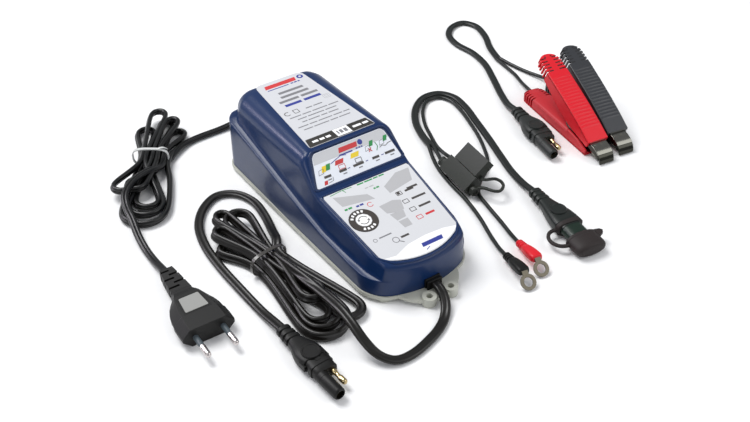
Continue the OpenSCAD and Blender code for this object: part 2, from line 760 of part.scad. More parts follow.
module ring_terminals() {
    color("#9a9686") for (r = [POS_RING, NEG_RING]) lay(r[0], r[1])
        rotate([0, -boot_rise, 0]) translate([24.1, 0, 0]) rotate([0, boot_rise + ring_droop, 0])
        difference() {
            union() {
                translate([7, 0, -0.5]) cylinder(d = 11, h = 1);
                translate([0.4, -2.2, -0.5]) cube([4, 4.4, 1]);
            }
            translate([7, 0, -2]) cylinder(d = ring_hole_d, h = 4);
        }
}

top_case();
base_plate();
case_screws();
top_label();
program_panel();
control_panel();
touch_button();
touch_switch();
led_board();
led_windows();
circuit_board();
transformer_core();
transformer_coil();
capacitors();
heatsink();
power_transistors();
mains_gland();
dc_gland();
mains_cord_lead();
mains_hank();
mains_tie();
mains_cord_tail();
plug_body();
plug_pins();
dc_cord_lead();
dc_hank();
dc_tie();
dc_cord_tail();
dc_connector();
dc_contacts();
clamp_connector();
clamp_contacts();
clamp_cord();
red_wire();
black_wire();
color("#d8283c") clamp(RED_CLAMP) lower_handle();  // red_lower_handle
color("#b8b8ac") clamp(RED_CLAMP) lower_jaw();  // red_lower_jaw
color("#e03a4a") clamp(RED_CLAMP) upper_handle();  // red_upper_handle
color("#b8b8ac") clamp(RED_CLAMP) upper_jaw();  // red_upper_jaw
color("#8a8a84") clamp(RED_CLAMP) pivot_pin();  // red_pivot
color("#8a8a84") clamp(RED_CLAMP) jaw_spring();  // red_spring
color("#2c2f33") clamp(BLACK_CLAMP) lower_handle();  // black_lower_handle
color("#b8b8ac") clamp(BLACK_CLAMP) lower_jaw();  // black_lower_jaw
color("#34383d") clamp(BLACK_CLAMP) upper_handle();  // black_upper_handle
color("#b8b8ac") clamp(BLACK_CLAMP) upper_jaw();  // black_upper_jaw
color("#8a8a84") clamp(BLACK_CLAMP) pivot_pin();  // black_pivot
color("#8a8a84") clamp(BLACK_CLAMP) jaw_spring();  // black_spring
ring_connector();
ring_contacts();
weather_cap();
cap_tether();
ring_cord();
positive_wire();
negative_wire();
fuse_holder();
fuse_cap();
blade_fuse();
positive_boot();
negative_boot();
ring_terminals();
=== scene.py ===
from math import atan, copysign, cos, degrees, pi, radians, sin, sqrt

import bpy
import numpy as np
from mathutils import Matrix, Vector
from mathutils.geometry import tessellate_polygon


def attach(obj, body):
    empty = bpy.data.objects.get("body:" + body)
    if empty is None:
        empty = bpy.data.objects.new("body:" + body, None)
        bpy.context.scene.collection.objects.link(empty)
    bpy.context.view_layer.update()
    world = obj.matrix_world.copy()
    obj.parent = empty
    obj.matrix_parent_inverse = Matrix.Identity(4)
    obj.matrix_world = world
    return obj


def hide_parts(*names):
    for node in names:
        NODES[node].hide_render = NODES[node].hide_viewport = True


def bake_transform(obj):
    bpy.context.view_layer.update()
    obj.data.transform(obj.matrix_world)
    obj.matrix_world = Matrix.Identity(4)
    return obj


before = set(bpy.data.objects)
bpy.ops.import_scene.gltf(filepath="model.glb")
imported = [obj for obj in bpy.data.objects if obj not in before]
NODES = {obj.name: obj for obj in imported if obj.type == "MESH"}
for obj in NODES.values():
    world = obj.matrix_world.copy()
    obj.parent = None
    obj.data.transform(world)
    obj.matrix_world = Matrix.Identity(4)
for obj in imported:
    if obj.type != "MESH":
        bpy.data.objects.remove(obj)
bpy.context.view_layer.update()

MM = 0.001


# ---------------------------------------------------------------- camera

camera = bpy.data.objects.new("Camera", bpy.data.cameras.new("Camera"))
bpy.context.scene.collection.objects.link(camera)
camera.data.sensor_width = 36
camera.data.lens = 50.366
camera.data.clip_end = 20
camera.location = (-0.3119, -0.4799, 0.4654)
camera.rotation_euler = (radians(90 - 38.84), 0, radians(-34.605))
bpy.context.scene.camera = camera


# ---------------------------------------------------------------- materials

def linear(rgb):
    return [((c / 255 + 0.055) / 1.055) ** 2.4 if c > 10 else c / 255 / 12.92 for c in rgb]


def material(name, rgb, rough, metal=0.0, coat=0.0, grain=0.0, grain_size=900.0, mottle=0.0, specular=0.5):
    """A Principled material. grain is the depth of a fine bump and mottle a slow change in gloss."""
    m = bpy.data.materials.new(name)
    m.use_nodes = True
    tree = m.node_tree
    shader = tree.nodes["Principled BSDF"]
    shader.inputs["Base Color"].default_value = (*linear(rgb), 1)
    shader.inputs["Roughness"].default_value = rough
    shader.inputs["Metallic"].default_value = metal
    shader.inputs["Coat Weight"].default_value = coat
    shader.inputs["Coat Roughness"].default_value = 0.2
    shader.inputs["Specular IOR Level"].default_value = specular
    where = tree.nodes.new("ShaderNodeTexCoord")
    if grain:
        noise = tree.nodes.new("ShaderNodeTexNoise")
        noise.inputs["Scale"].default_value = grain_size
        noise.inputs["Detail"].default_value = 3
        bump = tree.nodes.new("ShaderNodeBump")
        bump.inputs["Strength"].default_value = grain
        bump.inputs["Distance"].default_value = 0.0004
        tree.links.new(where.outputs["Object"], noise.inputs["Vector"])
        tree.links.new(noise.outputs["Fac"], bump.inputs["Height"])
        tree.links.new(bump.outputs["Normal"], shader.inputs["Normal"])
    if mottle:
        cloud = tree.nodes.new("ShaderNodeTexNoise")
        cloud.inputs["Scale"].default_value = 60
        span = tree.nodes.new("ShaderNodeMapRange")
        span.inputs["To Min"].default_value = max(0.02, rough - mottle)
        span.inputs["To Max"].default_value = rough + mottle
        tree.links.new(where.outputs["Object"], cloud.inputs["Vector"])
        tree.links.new(cloud.outputs["Fac"], span.inputs["Value"])
        tree.links.new(span.outputs["Result"], shader.inputs["Roughness"])
    return m


NAVY = material("navy_abs", (9, 40, 84), 0.34, coat=0.3, specular=0.2, grain=0.06, grain_size=2600,
    mottle=0.04)
PALE = material("pale_base", (186, 187, 176), 0.45, grain=0.05)
CORD_LOOK = dict(specular=0.42, grain=0.10, grain_size=500, mottle=0.08)
CORD = material("cord_pvc", (13, 14, 14), 0.30, **CORD_LOOK)
CORD_BROWN = material("cord_brown", (17, 15, 12), 0.32, **CORD_LOOK)
CORD_GREEN = material("cord_green", (18, 23, 21), 0.36, **CORD_LOOK)
MOULD = material("moulded_pvc", (10, 10, 9), 0.46, specular=0.28, grain=0.12, grain_size=700, mottle=0.06)
MOULD_GREY = material("plug_pvc", (19, 19, 18), 0.54, specular=0.32, grain=0.16, grain_size=800,
    mottle=0.05)
PLUG_PAD = material("plug_pad", (146, 146, 143), 0.6, grain=0.2, grain_size=1500)
MOULD_SOFT = material("clamp_plug_pvc", (26, 30, 28), 0.5, specular=0.42, grain=0.12, grain_size=700)
MOULD_OLIVE = material("ring_plug_pvc", (17, 24, 21), 0.4, specular=0.42, grain=0.1, grain_size=700)
SLEEVE = material("pin_sleeve", (74, 84, 90), 0.4, grain=0.06)
FUSE_BODY = material("fuse_orange", (198, 90, 58), 0.3)
NOSE_GREEN = material("nose_green", (6, 32, 20), 0.4, specular=0.4, grain=0.1, grain_size=700)
RUBBER = material("cap_rubber", (36, 29, 28), 0.6, specular=0.35, grain=0.18, grain_size=700)
FUSE_GREY = material("fuse_plastic", (37, 40, 35), 0.5, specular=0.4, grain=0.12, grain_size=900)
RED = material("red_plastic", (214, 20, 36), 0.42, coat=0.06, specular=0.35, grain=0.10, grain_size=900,
    mottle=0.04)
# painted shade: a darker copy of the clamp red for the lower handle's walls and inside
RED_PAINTED_SHADE = material("red_inside", (196, 24, 38), 0.5)
GREY = material("black_plastic", (44, 46, 50), 0.42, coat=0.1, grain=0.10, grain_size=900, mottle=0.04)
CHROME = material("jaw_nickel", (126, 125, 118), 0.14, metal=1.0, grain=0.04, grain_size=300)
# painted shade and painted dark reflection: a darker copy of the jaw nickel for the upper jaw's curl and
# side walls
CHROME_PAINTED_SHADE = material("jaw_shadow", (60, 60, 55), 0.12, metal=1.0, grain=0.04, grain_size=300)
STEEL = material("zinc_steel", (170, 170, 166), 0.32, metal=1.0)
BRASS = material("bullet_brass", (196, 176, 132), 0.22, metal=1.0)
TIN = material("tinned_copper", (98, 93, 82), 0.34, metal=1.0, grain=0.08)
NICKEL = material("pin_nickel", (205, 198, 196), 0.2, metal=1.0)
CLEAR = material("clear_tie", (206, 208, 206), 0.22, coat=0.5)
DARK_TIE = material("dark_tie", (58, 55, 52), 0.25, coat=0.4)
LABEL = material("label_film", (203, 204, 208), 0.42, mottle=0.03)
LABEL_PANEL = material("label_panel", (209, 210, 213), 0.42, mottle=0.03)
LABEL_COOL = material("label_cool", (234, 238, 246), 0.40, mottle=0.03)
INK_DARK = material("ink_dark", (66, 62, 60), 0.5)
INK_GREY = material("ink_grey", (120, 120, 124), 0.5)
INK_PALE = material("ink_pale", (176, 176, 178), 0.5)
INK_SILVER = material("ink_silver", (202, 203, 206), 0.5)
INK_WHITE = material("ink_white", (244, 244, 245), 0.5)
INK_BLUE = material("ink_blue", (38, 52, 140), 0.5)
INK_RED = material("ink_red", (200, 46, 50), 0.5)
INK_GREEN = material("ink_green", (30, 140, 70), 0.5)
INK_YELLOW = material("ink_yellow", (236, 206, 40), 0.5)
# painted shade: a dark sheet put in the handle's slots and holes where there is only shade
SLOT_PAINTED_SHADE = material("slot_shadow", (70, 12, 18), 0.8)
BAND = material("band_dark", (40, 38, 34), 0.45)
BUTTON = material("touch_ring", (58, 52, 48), 0.42)
BOARD = material("solder_mask", (31, 90, 53), 0.35)
BLACK = material("component_black", (30, 31, 33), 0.4)
COPPER = material("coil_copper", (190, 110, 55), 0.3, metal=1.0)


# ---------------------------------------------------------------- geometry tools
# Shapes are (vertices in millimetres, faces) until Piece.done() makes the object.

def spline(points, step=1.8):
    """Even points along a centripetal Catmull-Rom curve through the given ones."""
    p = np.array(points, float)
    q = np.vstack([2 * p[:1] - p[1:2], p, 2 * p[-1:] - p[-2:-1]])
    out = []
    for i in range(1, len(q) - 2):
        p0, p1, p2, p3 = q[i - 1:i + 3]
        t1, t2, t3 = np.cumsum([max(1e-3, np.linalg.norm(b - a)) ** 0.5
            for a, b in ((p0, p1), (p1, p2), (p2, p3))])
        t = np.linspace(t1, t2, 24, endpoint=False)[:, None]
        a1 = (t1 - t) / t1 * p0 + t / t1 * p1
        a2 = (t2 - t) / (t2 - t1) * p1 + (t - t1) / (t2 - t1) * p2
        a3 = (t3 - t) / (t3 - t2) * p2 + (t - t2) / (t3 - t2) * p3
        b1 = (t2 - t) / t2 * a1 + t / t2 * a2
        b2 = (t3 - t) / (t3 - t1) * a2 + (t - t1) / (t3 - t1) * a3
        out.append((t2 - t) / (t2 - t1) * b1 + (t - t1) / (t2 - t1) * b2)
    return resample(np.vstack(out + [p[-1:]]), step)


def resample(path, step):
    run = np.concatenate([[0], np.cumsum(np.linalg.norm(np.diff(path, axis=0), axis=1))])
    even = np.linspace(0, run[-1], max(2, int(run[-1] / step) + 1))
    return np.stack([np.interp(even, run, path[:, k]) for k in range(3)], 1)


def soften(path, times):
    """Rounds a path's kinks and keeps its two ends."""
    p = path.copy()
    for _ in range(times):
        p[1:-1] = (p[:-2] + 2 * p[1:-1] + p[2:]) / 4
    return p


def length_of(path):
    return float(np.linalg.norm(np.diff(path, axis=0), axis=1).sum())


def circle(r, n=12):
    a = np.arange(n) * 2 * pi / n
    return np.stack([r * np.cos(a), r * np.sin(a)], 1)


def polar(x, y, r, angles):
    return [(x + r * cos(a), y + r * sin(a)) for a in angles]


def twin(w, h, n=9):
    """Section of a flat twin cord: two round lobes with a shallow groove between them."""
    a = np.linspace(-0.62 * pi, 0.62 * pi, n)
    right = np.stack([(w - h) / 2 + h / 2 * np.cos(a), h / 2 * np.sin(a)], 1)
    return np.vstack([right, [[0, h * 0.33]], -right, [[0, -h * 0.33]]])


def super_section(w, h, p=4.0, n=28):
    """Rounded-box section, an ellipse at p=2 and squarer as p grows."""
    a = (np.arange(n) + 0.5) * 2 * pi / n
    c, s = np.cos(a), np.sin(a)
    return np.stack([w / 2 * np.sign(c) * np.abs(c) ** (2 / p), h / 2 * np.sign(s) * np.abs(s) ** (2 / p)],
        1)


def skin(rings, loop=False):
    """Quads between rings of equal count, with fan caps."""
    rings = [np.asarray(r, float) for r in rings]
    n = len(rings[0])
    verts = np.vstack(rings)
    m = len(rings)
    faces = [(i * n + k, i * n + (k + 1) % n, ((i + 1) % m) * n + (k + 1) % n, ((i + 1) % m) * n + k) for i
        in range(m if loop else m - 1) for k in range(n)]
    if not loop:
        faces += [tuple(range(n - 1, -1, -1)), tuple(range((m - 1) * n, m * n))]
    return verts, faces


def sweep(path, section, roll=None, loop=False):
    """A section carried along a path, its width kept level unless rolled."""
    t = np.gradient(path, axis=0)
    if loop:
        t = np.roll(path, -1, 0) - np.roll(path, 1, 0)
    t /= np.linalg.norm(t, axis=1)[:, None]
    side = np.cross(t, [0, 0, 1])
    side /= np.maximum(np.linalg.norm(side, axis=1), 1e-6)[:, None]
    up = np.cross(side, t)
    roll = np.zeros(len(path)) if roll is None else np.asarray(roll)
    c, s = np.cos(roll)[:, None], np.sin(roll)[:, None]
    wide, tall = side * c + up * s, up * c - side * s
    return skin([path[i] + section[:, :1] * wide[i] + section[:, 1:] * tall[i] for i in range(len(path))],
        loop)


def loft_x(stations):
    """Stations (x, width, height, power) along +X, width across Y."""
    return skin([np.insert(super_section(w, h, p), 0, x, 1) for x, w, h, p in stations])


def lathe_x(profile, y=0.0, n=24):
    """Profile of (x, radius) turned about a line along X."""
    a = np.arange(n) * 2 * pi / n
    return skin([np.stack([np.full(n, x), y + max(r, 0.01) * np.cos(a), max(r, 0.01) * np.sin(a)], 1)
        for x, r in profile])


def lathe_z(profile, x=0.0, y=0.0, n=32):
    a = np.arange(n) * 2 * pi / n
    return skin([np.stack([x + max(r, 0.01) * np.cos(a), y + max(r, 0.01) * np.sin(a), np.full(n, z)], 1)
        for z, r in profile])


def prism(outline, z0, z1):
    o = np.array(outline, float)
    return skin([np.column_stack([o, np.full(len(o), z0)]), np.column_stack([o, np.full(len(o), z1)])])


def across(outline, w):
    """A side outline (x, z) made w wide across Y."""
    o = np.array(outline, float)
    if np.dot(o[:, 0], np.roll(o[:, 1], -1)) - np.dot(o[:, 1], np.roll(o[:, 0], -1)) > 0:
        o = o[::-1]
    return skin([np.column_stack([o[:, 0], np.full(len(o), y), o[:, 1]]) for y in (-w / 2, w / 2)])


def box(x0, x1, y0, y1, z0, z1):
    return prism([(x0, y0), (x1, y0), (x1, y1), (x0, y1)], z0, z1)


def moved(shape, at=(0, 0, 0), turn=0.0, tilt=0.0, roll=0.0):
    """A shape turned about X by roll, about Y by tilt and about Z by turn (degrees), then moved."""
    v, f = shape
    a, b, c = radians(turn), radians(tilt), radians(roll)
    v = v @ np.array([[1, 0, 0], [0, cos(c), sin(c)], [0, -sin(c), cos(c)]])
    v = v @ np.array([[cos(b), 0, -sin(b)], [0, 1, 0], [sin(b), 0, cos(b)]])
    v = v @ np.array([[cos(a), sin(a), 0], [-sin(a), cos(a), 0], [0, 0, 1]])
    return v + np.array(at, float), f


class Piece:
    """Collects shapes, each in the piece's own frame unless a place is given, and makes one object of them.
    A piece with no body is left unattached."""

    def __init__(self, name, body, slot, *nodes, **place):
        self.name, self.body, self.slot, self.nodes, self.place = name, body, slot, nodes, place
        self.verts, self.faces, self.paint, self.count, self.mats = [], [], [], 0, []

    def add(self, shape, mat, **place):
        v, f = moved(shape, **(place or self.place))
        if mat not in self.mats:
            self.mats.append(mat)
        self.verts.append(v)
        self.faces += [tuple(i + self.count for i in face) for face in f]
        self.paint += [self.mats.index(mat)] * len(f)
        self.count += len(v)

    def done(self, angle, bevel=0.0):
        me = bpy.data.meshes.new(self.name)
        me.from_pydata((np.vstack(self.verts) * MM).tolist(), [], self.faces)
        for m in self.mats:
            me.materials.append(m)
        me.polygons.foreach_set("material_index", self.paint)
        me.validate()
        o = bpy.data.objects.new(self.name, me)
        bpy.context.scene.collection.objects.link(o)
        me.shade_smooth()
        me.set_sharp_from_angle(angle=radians(angle))
        if bevel:
            add_bevel(o, bevel)
        if self.nodes:
            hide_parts(*self.nodes)
        if self.body:
            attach(o, self.body)
        return o


def add_bevel(o, width):
    mod = o.modifiers.new("Bevel", "BEVEL")
    mod.width = width * MM
    mod.segments = 2
    mod.limit_method = "ANGLE"
    mod.angle_limit = radians(35)
    mod.harden_normals = True


def paint(node, mat, bevel):
    """A CAD node keeps its shape and gets a material and a small edge radius."""
    o = NODES[node]
    if o.material_slots:
        for s in o.material_slots:
            s.link = "OBJECT"
            s.material = mat
    else:
        o.data.materials.append(mat)
    add_bevel(o, bevel)


# ---------------------------------------------------------------- cord routes
# The same routes as the CAD solids, in millimetres.

MAINS_LEAD = [[10, 124, 15], [9, 132, 13.5], [4, 139, 10], [-5, 144, 6], [-16, 146, 3], [-28, 146, 2],
    [-40, 146, 2], [-53, 145, 2], [-65, 140, 3]]
MAINS_TAIL = [[-134.6, 61, 4.4], [-135.6, 48, 2.2], [-136, 34, 2.6], [-136.4, 15, 6.6]]
DC_LEAD = [[0, -95, 9], [0, -101, 8.6], [-2, -109, 5.5], [-8, -117, 2.2], [-18, -124, 1.8],
    [-31, -129, 1.8], [-44, -132, 1.8], [-56, -131, 2.4], [-64, -124, 6], [-67, -113, 11], [-67, -100, 15]]
DC_TAIL = [[-61, 0, 6.5], [-55, 18, 2], [-51, 36, 1.8], [-50, 52, 1.8], [-56, 67, 1.8], [-68, 73, 1.8],
    [-82, 66, 1.8], [-94, 51, 1.8], [-100.5, 30, 1.8], [-102.5, 5, 1.8], [-102, -22, 1.8], [-101, -48, 2],
    [-100.5, -61, 4], [-100, -71.6, 5.6]]
CLAMP_CORD = [[177, 32.6, 5.6], [180, 45, 3], [187, 62, 1.6], [197, 84, 1.6], [206, 106, 1.6],
    [209, 126, 1.6], [207, 146, 1.6], [211, 162, 1.6], [222, 172, 1.6], [235, 173, 1.6], [241, 162, 1.6],
    [237, 144, 1.6], [227, 124, 1.6], [221, 106, 1.6]]
BLACK_WIRE = [[222.4, 107, 1.6], [224, 92, 1.5], [227, 76, 1.6], [229.6, 63, 2.8], [229.5, 52, 5],
    [228.5, 43, 5], [227, 34, 5]]
RED_WIRE = [[219.6, 107, 1.6], [218, 92, 1.5], [216, 78, 1.5], [211, 64, 2.8], [206.9, 53, 5],
    [205.3, 43, 5], [204, 34, 5]]
RING_CORD = [[118.6, -55, 5.6], [121, -42, 3], [125, -24, 1.6], [131, -4, 1.6], [138, 18, 1.6],
    [145, 42, 1.6], [151, 64, 1.6], [152, 80, 1.6], [145, 91, 1.6], [132, 93, 1.6], [117, 84, 1.6],
    [105, 68, 1.6], [98, 50, 2], [94.5, 34, 3]]
FEED_WIRE = [[96, 35, 3], [93.2, 27, 4.2], [90, 19.5, 5.4], [87, 12.5, 6.4], [86.4, 9.5, 6.5]]
NEGATIVE_WIRE = [[93, 35, 3], [88, 24, 1.9], [83.2, 11, 1.5], [80.2, -2, 1.5], [78.2, -15, 1.5],
    [76.8, -28, 1.5], [74.4, -41, 1.5], [70.6, -56, 1.5], [65, -73, 1.6], [60.5, -88, 2.6], [58.6, -96, 4]]
POSITIVE_WIRE = [[90.3, 2.4, 10.8], [91.2, 10.5, 9.4], [92.8, 16.5, 7.4], [95.4, 25, 4.8], [98.8, 34, 2.4],
    [103.4, 46, 1.6], [109.6, 62, 1.6], [120.5, 79, 1.6], [132, 87.4, 1.6], [142, 86, 1.6],
    [146.6, 77, 1.6], [145.4, 64, 1.6], [140, 44, 1.6], [134, 26, 1.6], [127, 10, 1.5], [119, -4, 1.5],
    [109, -14, 1.5], [97, -22, 1.5], [88, -32, 1.5], [84.4, -46, 1.5], [81, -64, 1.5], [76.6, -82, 2.4],
    [74.2, -91, 4]]


def hank_points(tie, heading, parts):
    """Turns a hank's plan into points. Its own frame has s along the hank and t to its left.
    A part is a slot (t, z) at the tie, a fold (s, t, r, z), or free points [(s, t, z), ...]."""
    a = radians(heading)
    u, v = np.array([cos(a), sin(a)]), np.array([-sin(a), cos(a)])
    local = []
    for kind, *value in parts:
        if kind == "slot":
            t, z = value
            way = 1 if local and local[-1][0] < 0 else -1
            local += [(-9 * way, t, z), (9 * way, t, z)]
        elif kind == "free":
            local += value
        else:
            s, t, r, z = value
            sign = 1 if s > 0 else -1
            lead = 1 if kind == "left" else -1
            for k in range(0, 181, 30):
                f = radians(k)
                local.append((s + sign * r * sin(f), t + lead * r * cos(f), z))
    return [[tie[0] + s * u[0] + t * v[0], tie[1] + s * u[1] + t * v[1], z] for s, t, z in local]


MAINS_HEADING, DC_HEADING = 55.5, 96.6
# Each fold is entered from its left or its right leg.
MAINS_TURNS = hank_points((-90, 135), MAINS_HEADING,
    [("free", (-2, -12.6, 4), (-22, -17, 3.2)), ("right", -57, -4.5, 16, 3.1), ("slot", 9.3, 3.1),
    ("left", 37, 10.5, 6.5, 3.1), ("slot", 5.6, 3.3), ("right", -36, 14.5, 6.8, 8.6), ("slot", 6.4, 9.1),
    ("left", 55, 3, 5.8, 8.4), ("slot", 2.6, 9.1), ("right", -46, -4.5, 8.4, 3.1), ("slot", 1.9, 3.1),
    ("left", 50, -3.5, 5, 3.1), ("slot", -1.9, 3.1), ("right", -51.5, -4.5, 12.3, 3.6), ("slot", -1.3, 9.0),
    ("left", 45, -9, 5, 8.4), ("slot", -5.2, 9.0), ("right", -34, 4.5, 7.2, 9.2), ("slot", -5.6, 3.3),
    ("left", 35, -14.5, 5.8, 3.2), ("slot", -9.3, 6.5),
    ("free", (-22, -3, 12), (-36, 6, 13), (-50, 9.5, 12), (-62, 6.5, 9.8), (-73, 1, 8.6))])
DC_TURNS = hank_points((-76, -15), DC_HEADING,
    [("free", (-73, -1, 16), (-58, -2.5, 14.6), (-36, -3, 13.4), (-14, -3, 12.4), (10, -2.6, 11)),
    ("left", 46, -8, 9.4, 8.4), ("slot", -9.3, 3.6), ("right", -63, 4.5, 15.4, 3.5), ("slot", 9.3, 3.6),
    ("left", 31, 13.5, 5, 3.6), ("slot", 5.6, 3.6), ("right", -56, 4.5, 7.8, 3.7), ("slot", 6.2, 10.2),
    ("left", 42, 9.5, 4.8, 9.6), ("slot", 2.6, 10.2), ("right", -60, 4.5, 11.6, 4.2), ("slot", 1.9, 3.6),
    ("left", 49, 5, 4.8, 3.6), ("slot", -1.9, 3.6), ("right", -44, -1, 7.2, 10.2), ("slot", -1.3, 10.2),
    ("left", 55, -0.5, 5, 9.6), ("slot", -5.4, 7.6), ("left", -66, -13.5, 8.2, 3.6), ("slot", -12.8, 4.6)])


def rolls(path, start, end, heading, ease=28.0):
    """Flat on the table before start and after end (mm along the path). Between them the strands
    stand on edge, leaning a little to one side of the hank."""
    run = np.concatenate([[0], np.cumsum(np.linalg.norm(np.diff(path, axis=0), axis=1))])
    rise = np.clip((run - start) / ease, 0, 1)
    fall = np.clip((end - run) / ease, 0, 1)
    w = np.minimum(rise, fall)
    t = np.gradient(path, axis=0)
    t /= np.linalg.norm(t, axis=1)[:, None]
    a = radians(heading)
    lean = np.radians(26) * (t[:, 0] * cos(a) + t[:, 1] * sin(a))
    return (pi / 2 - lean) * w * w * (3 - 2 * w)


def free_cord(name, body, mat, path, section, roll=None, nodes=(), slot_name="cord_rubber"):
    piece = Piece(name, body, slot_name, *nodes)
    piece.add(sweep(path, section, roll), mat)
    return piece.done(angle=80)


mains_path = soften(spline(MAINS_LEAD + MAINS_TURNS + MAINS_TAIL, 1.7), 5)
mains_cord = free_cord("mains_cord", "charger", CORD, mains_path, twin(5.6, 3.6),
    rolls(mains_path, 88, length_of(mains_path) - 130, MAINS_HEADING),
    ("mains_cord_lead", "mains_hank", "mains_cord_tail"))
dc_path = soften(spline(DC_LEAD + DC_TURNS + DC_TAIL, 1.7), 5)
dc_cord = free_cord("dc_cord", "charger", CORD_BROWN, dc_path, twin(6.6, 3.4),
    rolls(dc_path, 150, length_of(dc_path) - 345, DC_HEADING), ("dc_cord_lead", "dc_hank", "dc_cord_tail"))
clamp_path = spline(CLAMP_CORD)
clamp_cord = free_cord("clamp_lead_cord", "clamp_lead", CORD_GREEN, clamp_path, twin(5.8, 3.0),
    nodes=("clamp_cord",))
ring_path = spline(RING_CORD)
ring_cord = free_cord("ring_lead_cord", "ring_lead", CORD_GREEN, ring_path, twin(5.8, 3.0),
    nodes=("ring_cord",))
wires = {}
for wire, body, route in (("red_wire", "clamp_lead", RED_WIRE), ("black_wire", "clamp_lead", BLACK_WIRE),
        ("feed_wire", "ring_lead", FEED_WIRE), ("negative_wire", "ring_lead", NEGATIVE_WIRE),
        ("positive_wire", "ring_lead", POSITIVE_WIRE)):
    wires[wire] = (free_cord(wire + "_skin", body, CORD_GREEN, spline(route), circle(1.45), nodes=() if wire
        == "feed_wire" else (wire,)), spline(route), route)


# ---------------------------------------------------------------- housing

TOP = [[-92, 25], [-91.2, 27.6], [-89.5, 28.9], [-87, 29.7], [-15.5, 42.4], [-13, 43.7], [-11, 44.6],
    [5.2, 61.6], [7, 62.6], [10, 63], [91, 63], [96, 62.4], [99, 60.8], [101, 57.6], [102, 52.5],
    [102.4, 45.8], [103, 45], [105, 44.6]]
LEDGE = [[-92, 16.5], [-64, 16.8], [-24, 19.8], [33, 31], [63, 36.8], [105, 44.6]]
STEP = [[-92, 0.3], [-64, 1.6], [-20, 2.4], [105, 2.6]]
DECK = [[-92, 27.5], [-87, 30.5], [-79.6, 31.6], [-15.5, 35.4], [-11, 35.5], [5.2, 30], [10, 28],
    [97, 20.8], [102.4, 19], [105, 18]]
UPPER = [[-92, 31], [-79.6, 34.6], [-15.5, 37.4], [-11, 37.6], [10, 37], [60, 36.6], [91, 36.2], [98, 33.2],
    [102.4, 28], [105, 26]]
ROUND = [[-92, 2], [-87, 3], [-15.5, 4], [-11, 5], [10, 12], [96, 13], [102.4, 6], [105, 0.4]]
CASE_Z, HALF_W, BOW_R, CORNER_R, FRONT_Y, REAR_Y = 5.05, 42, 70, 12, -92, 105
DECK_SLOPE = 12.7 / 71.5


def lookup(y, table, blur=1.0):
    t = np.array(table, float)
    return float(np.mean([np.interp(y + d, t[:, 0], t[:, 1]) for d in
        (-blur, -blur / 2, 0, blur / 2, blur)]))


def bow(x):
    return BOW_R - sqrt(BOW_R ** 2 - x * x)


def bow_part(y):
    return 0 if y > -20 else 1 if y < -76 else (-20 - y) / 56


def half_section(y):
    blur = 0.3 if y < -88 or y > 100.5 else 1.2
    zt = lookup(y, TOP, blur)
    ledge = min(lookup(y, LEDGE), zt - 0.6)
    d = max(0, FRONT_Y + CORNER_R - y, y - REAR_Y + CORNER_R)
    w = (HALF_W - max(0, 20 - y) / 112 * 1.8 - (CORNER_R - sqrt(max(0, CORNER_R ** 2 - d * d))))
    wu = min(w - 0.9 - lookup(y, STEP), lookup(y, UPPER, blur) + 1.2)
    wa = min(wu - 0.3, lookup(y, UPPER, blur))
    wd = min(wa - 0.6, lookup(y, DECK, blur))
    rz = min(lookup(y, ROUND), zt - ledge - 0.4)
    low = [[w, CASE_Z], [w, CASE_Z + 0.5 * (ledge - CASE_Z)], [w - 0.2, ledge - 3]]
    shoulder = [[w - 0.9 + 0.75 * cos(a), ledge - 0.95 + 1.0 * sin(a)] for a in np.linspace(0.1, pi / 2, 5)]
    inner = [[wu + 0.5, ledge + 0.06], [wu, ledge + 0.5]]
    side = [[wu + (wa - wu) * k, ledge + 0.5 + (zt - rz - ledge - 0.5) * k] for k in (0.35, 0.7)]
    corner = [[wd + (wa - wd) * cos(a), zt - rz + rz * sin(a)] for a in np.linspace(0, pi / 2, 13)]
    flat = [[wd * k, zt] for k in (0.94, 0.7, 0.4, 0.12)]
    return low + shoulder + inner + side + corner + flat, zt


def housing_ring(y, s=1.0):
    half, zt = half_section(y)
    pts = [(x * s, CASE_Z + (z - CASE_Z) * s) for x, z in half]
    pts += [(-x, z) for x, z in reversed(pts)]
    out = []
    for x, z in pts:
        back = bow(x) * bow_part(y)
        out.append((x, y + back, z + back * DECK_SLOPE * (z - CASE_Z) / (zt - CASE_Z)))
    return out


def housing():
    ys = ([-92 + d for d in (0.15, 0.4, 0.8, 1.3, 2, 3, 4, 5, 6.5, 8, 10, 12)] +
        list(np.arange(-78, -18, 4)) + list(np.arange(-18, 13, 0.8)) + list(np.arange(14, 90, 5)) +
        list(np.arange(90, 98, 1)) + list(np.arange(98, 105, 0.35)) + [104.9])
    rings = [housing_ring(-92, s) for s in (0.1, 0.3, 0.5, 0.7, 0.85, 0.95, 0.985)]
    rings += [housing_ring(y) for y in ys]
    piece = Piece("housing_shell", "charger", "housing", "top_case")
    piece.add(skin(rings), NAVY)
    return piece


shell = housing()
TILT_C = degrees(atan(DECK_SLOPE))
TILT_P = degrees(atan(17 / 16.2))


def on_plane(points, centre, tilt_deg, lift):
    """Panel points (across, up-slope) to the row frame, lifted off the panel."""
    a = radians(tilt_deg)
    p = np.array(points, float)
    z = lift if p.shape[1] == 2 else p[:, 2] + lift
    return np.stack([p[:, 0], centre[1] + p[:, 1] * cos(a) - z * sin(a),
        centre[2] + p[:, 1] * sin(a) + z * cos(a)], 1)


CONTROL = ((0, -51.25, 36.05), TILT_C)
PROGRAM = ((0, -2.9, 53.1), TILT_P)
DECKTOP = ((0, 53.5, 63.0), 0.0)


def bead(outline, plane, r):
    """A round edge on the housing along a closed outline on a panel's plane."""
    path = resample(np.column_stack([np.array(outline + outline[:1], float), np.zeros(len(outline) + 1)]),
        1.0)
    path = soften(path, 4)
    path[0] = (path[1] + path[-2]) / 2
    shell.add(sweep(on_plane(path[:-1], *plane, -0.1), circle(r, 10), loop=True), NAVY)


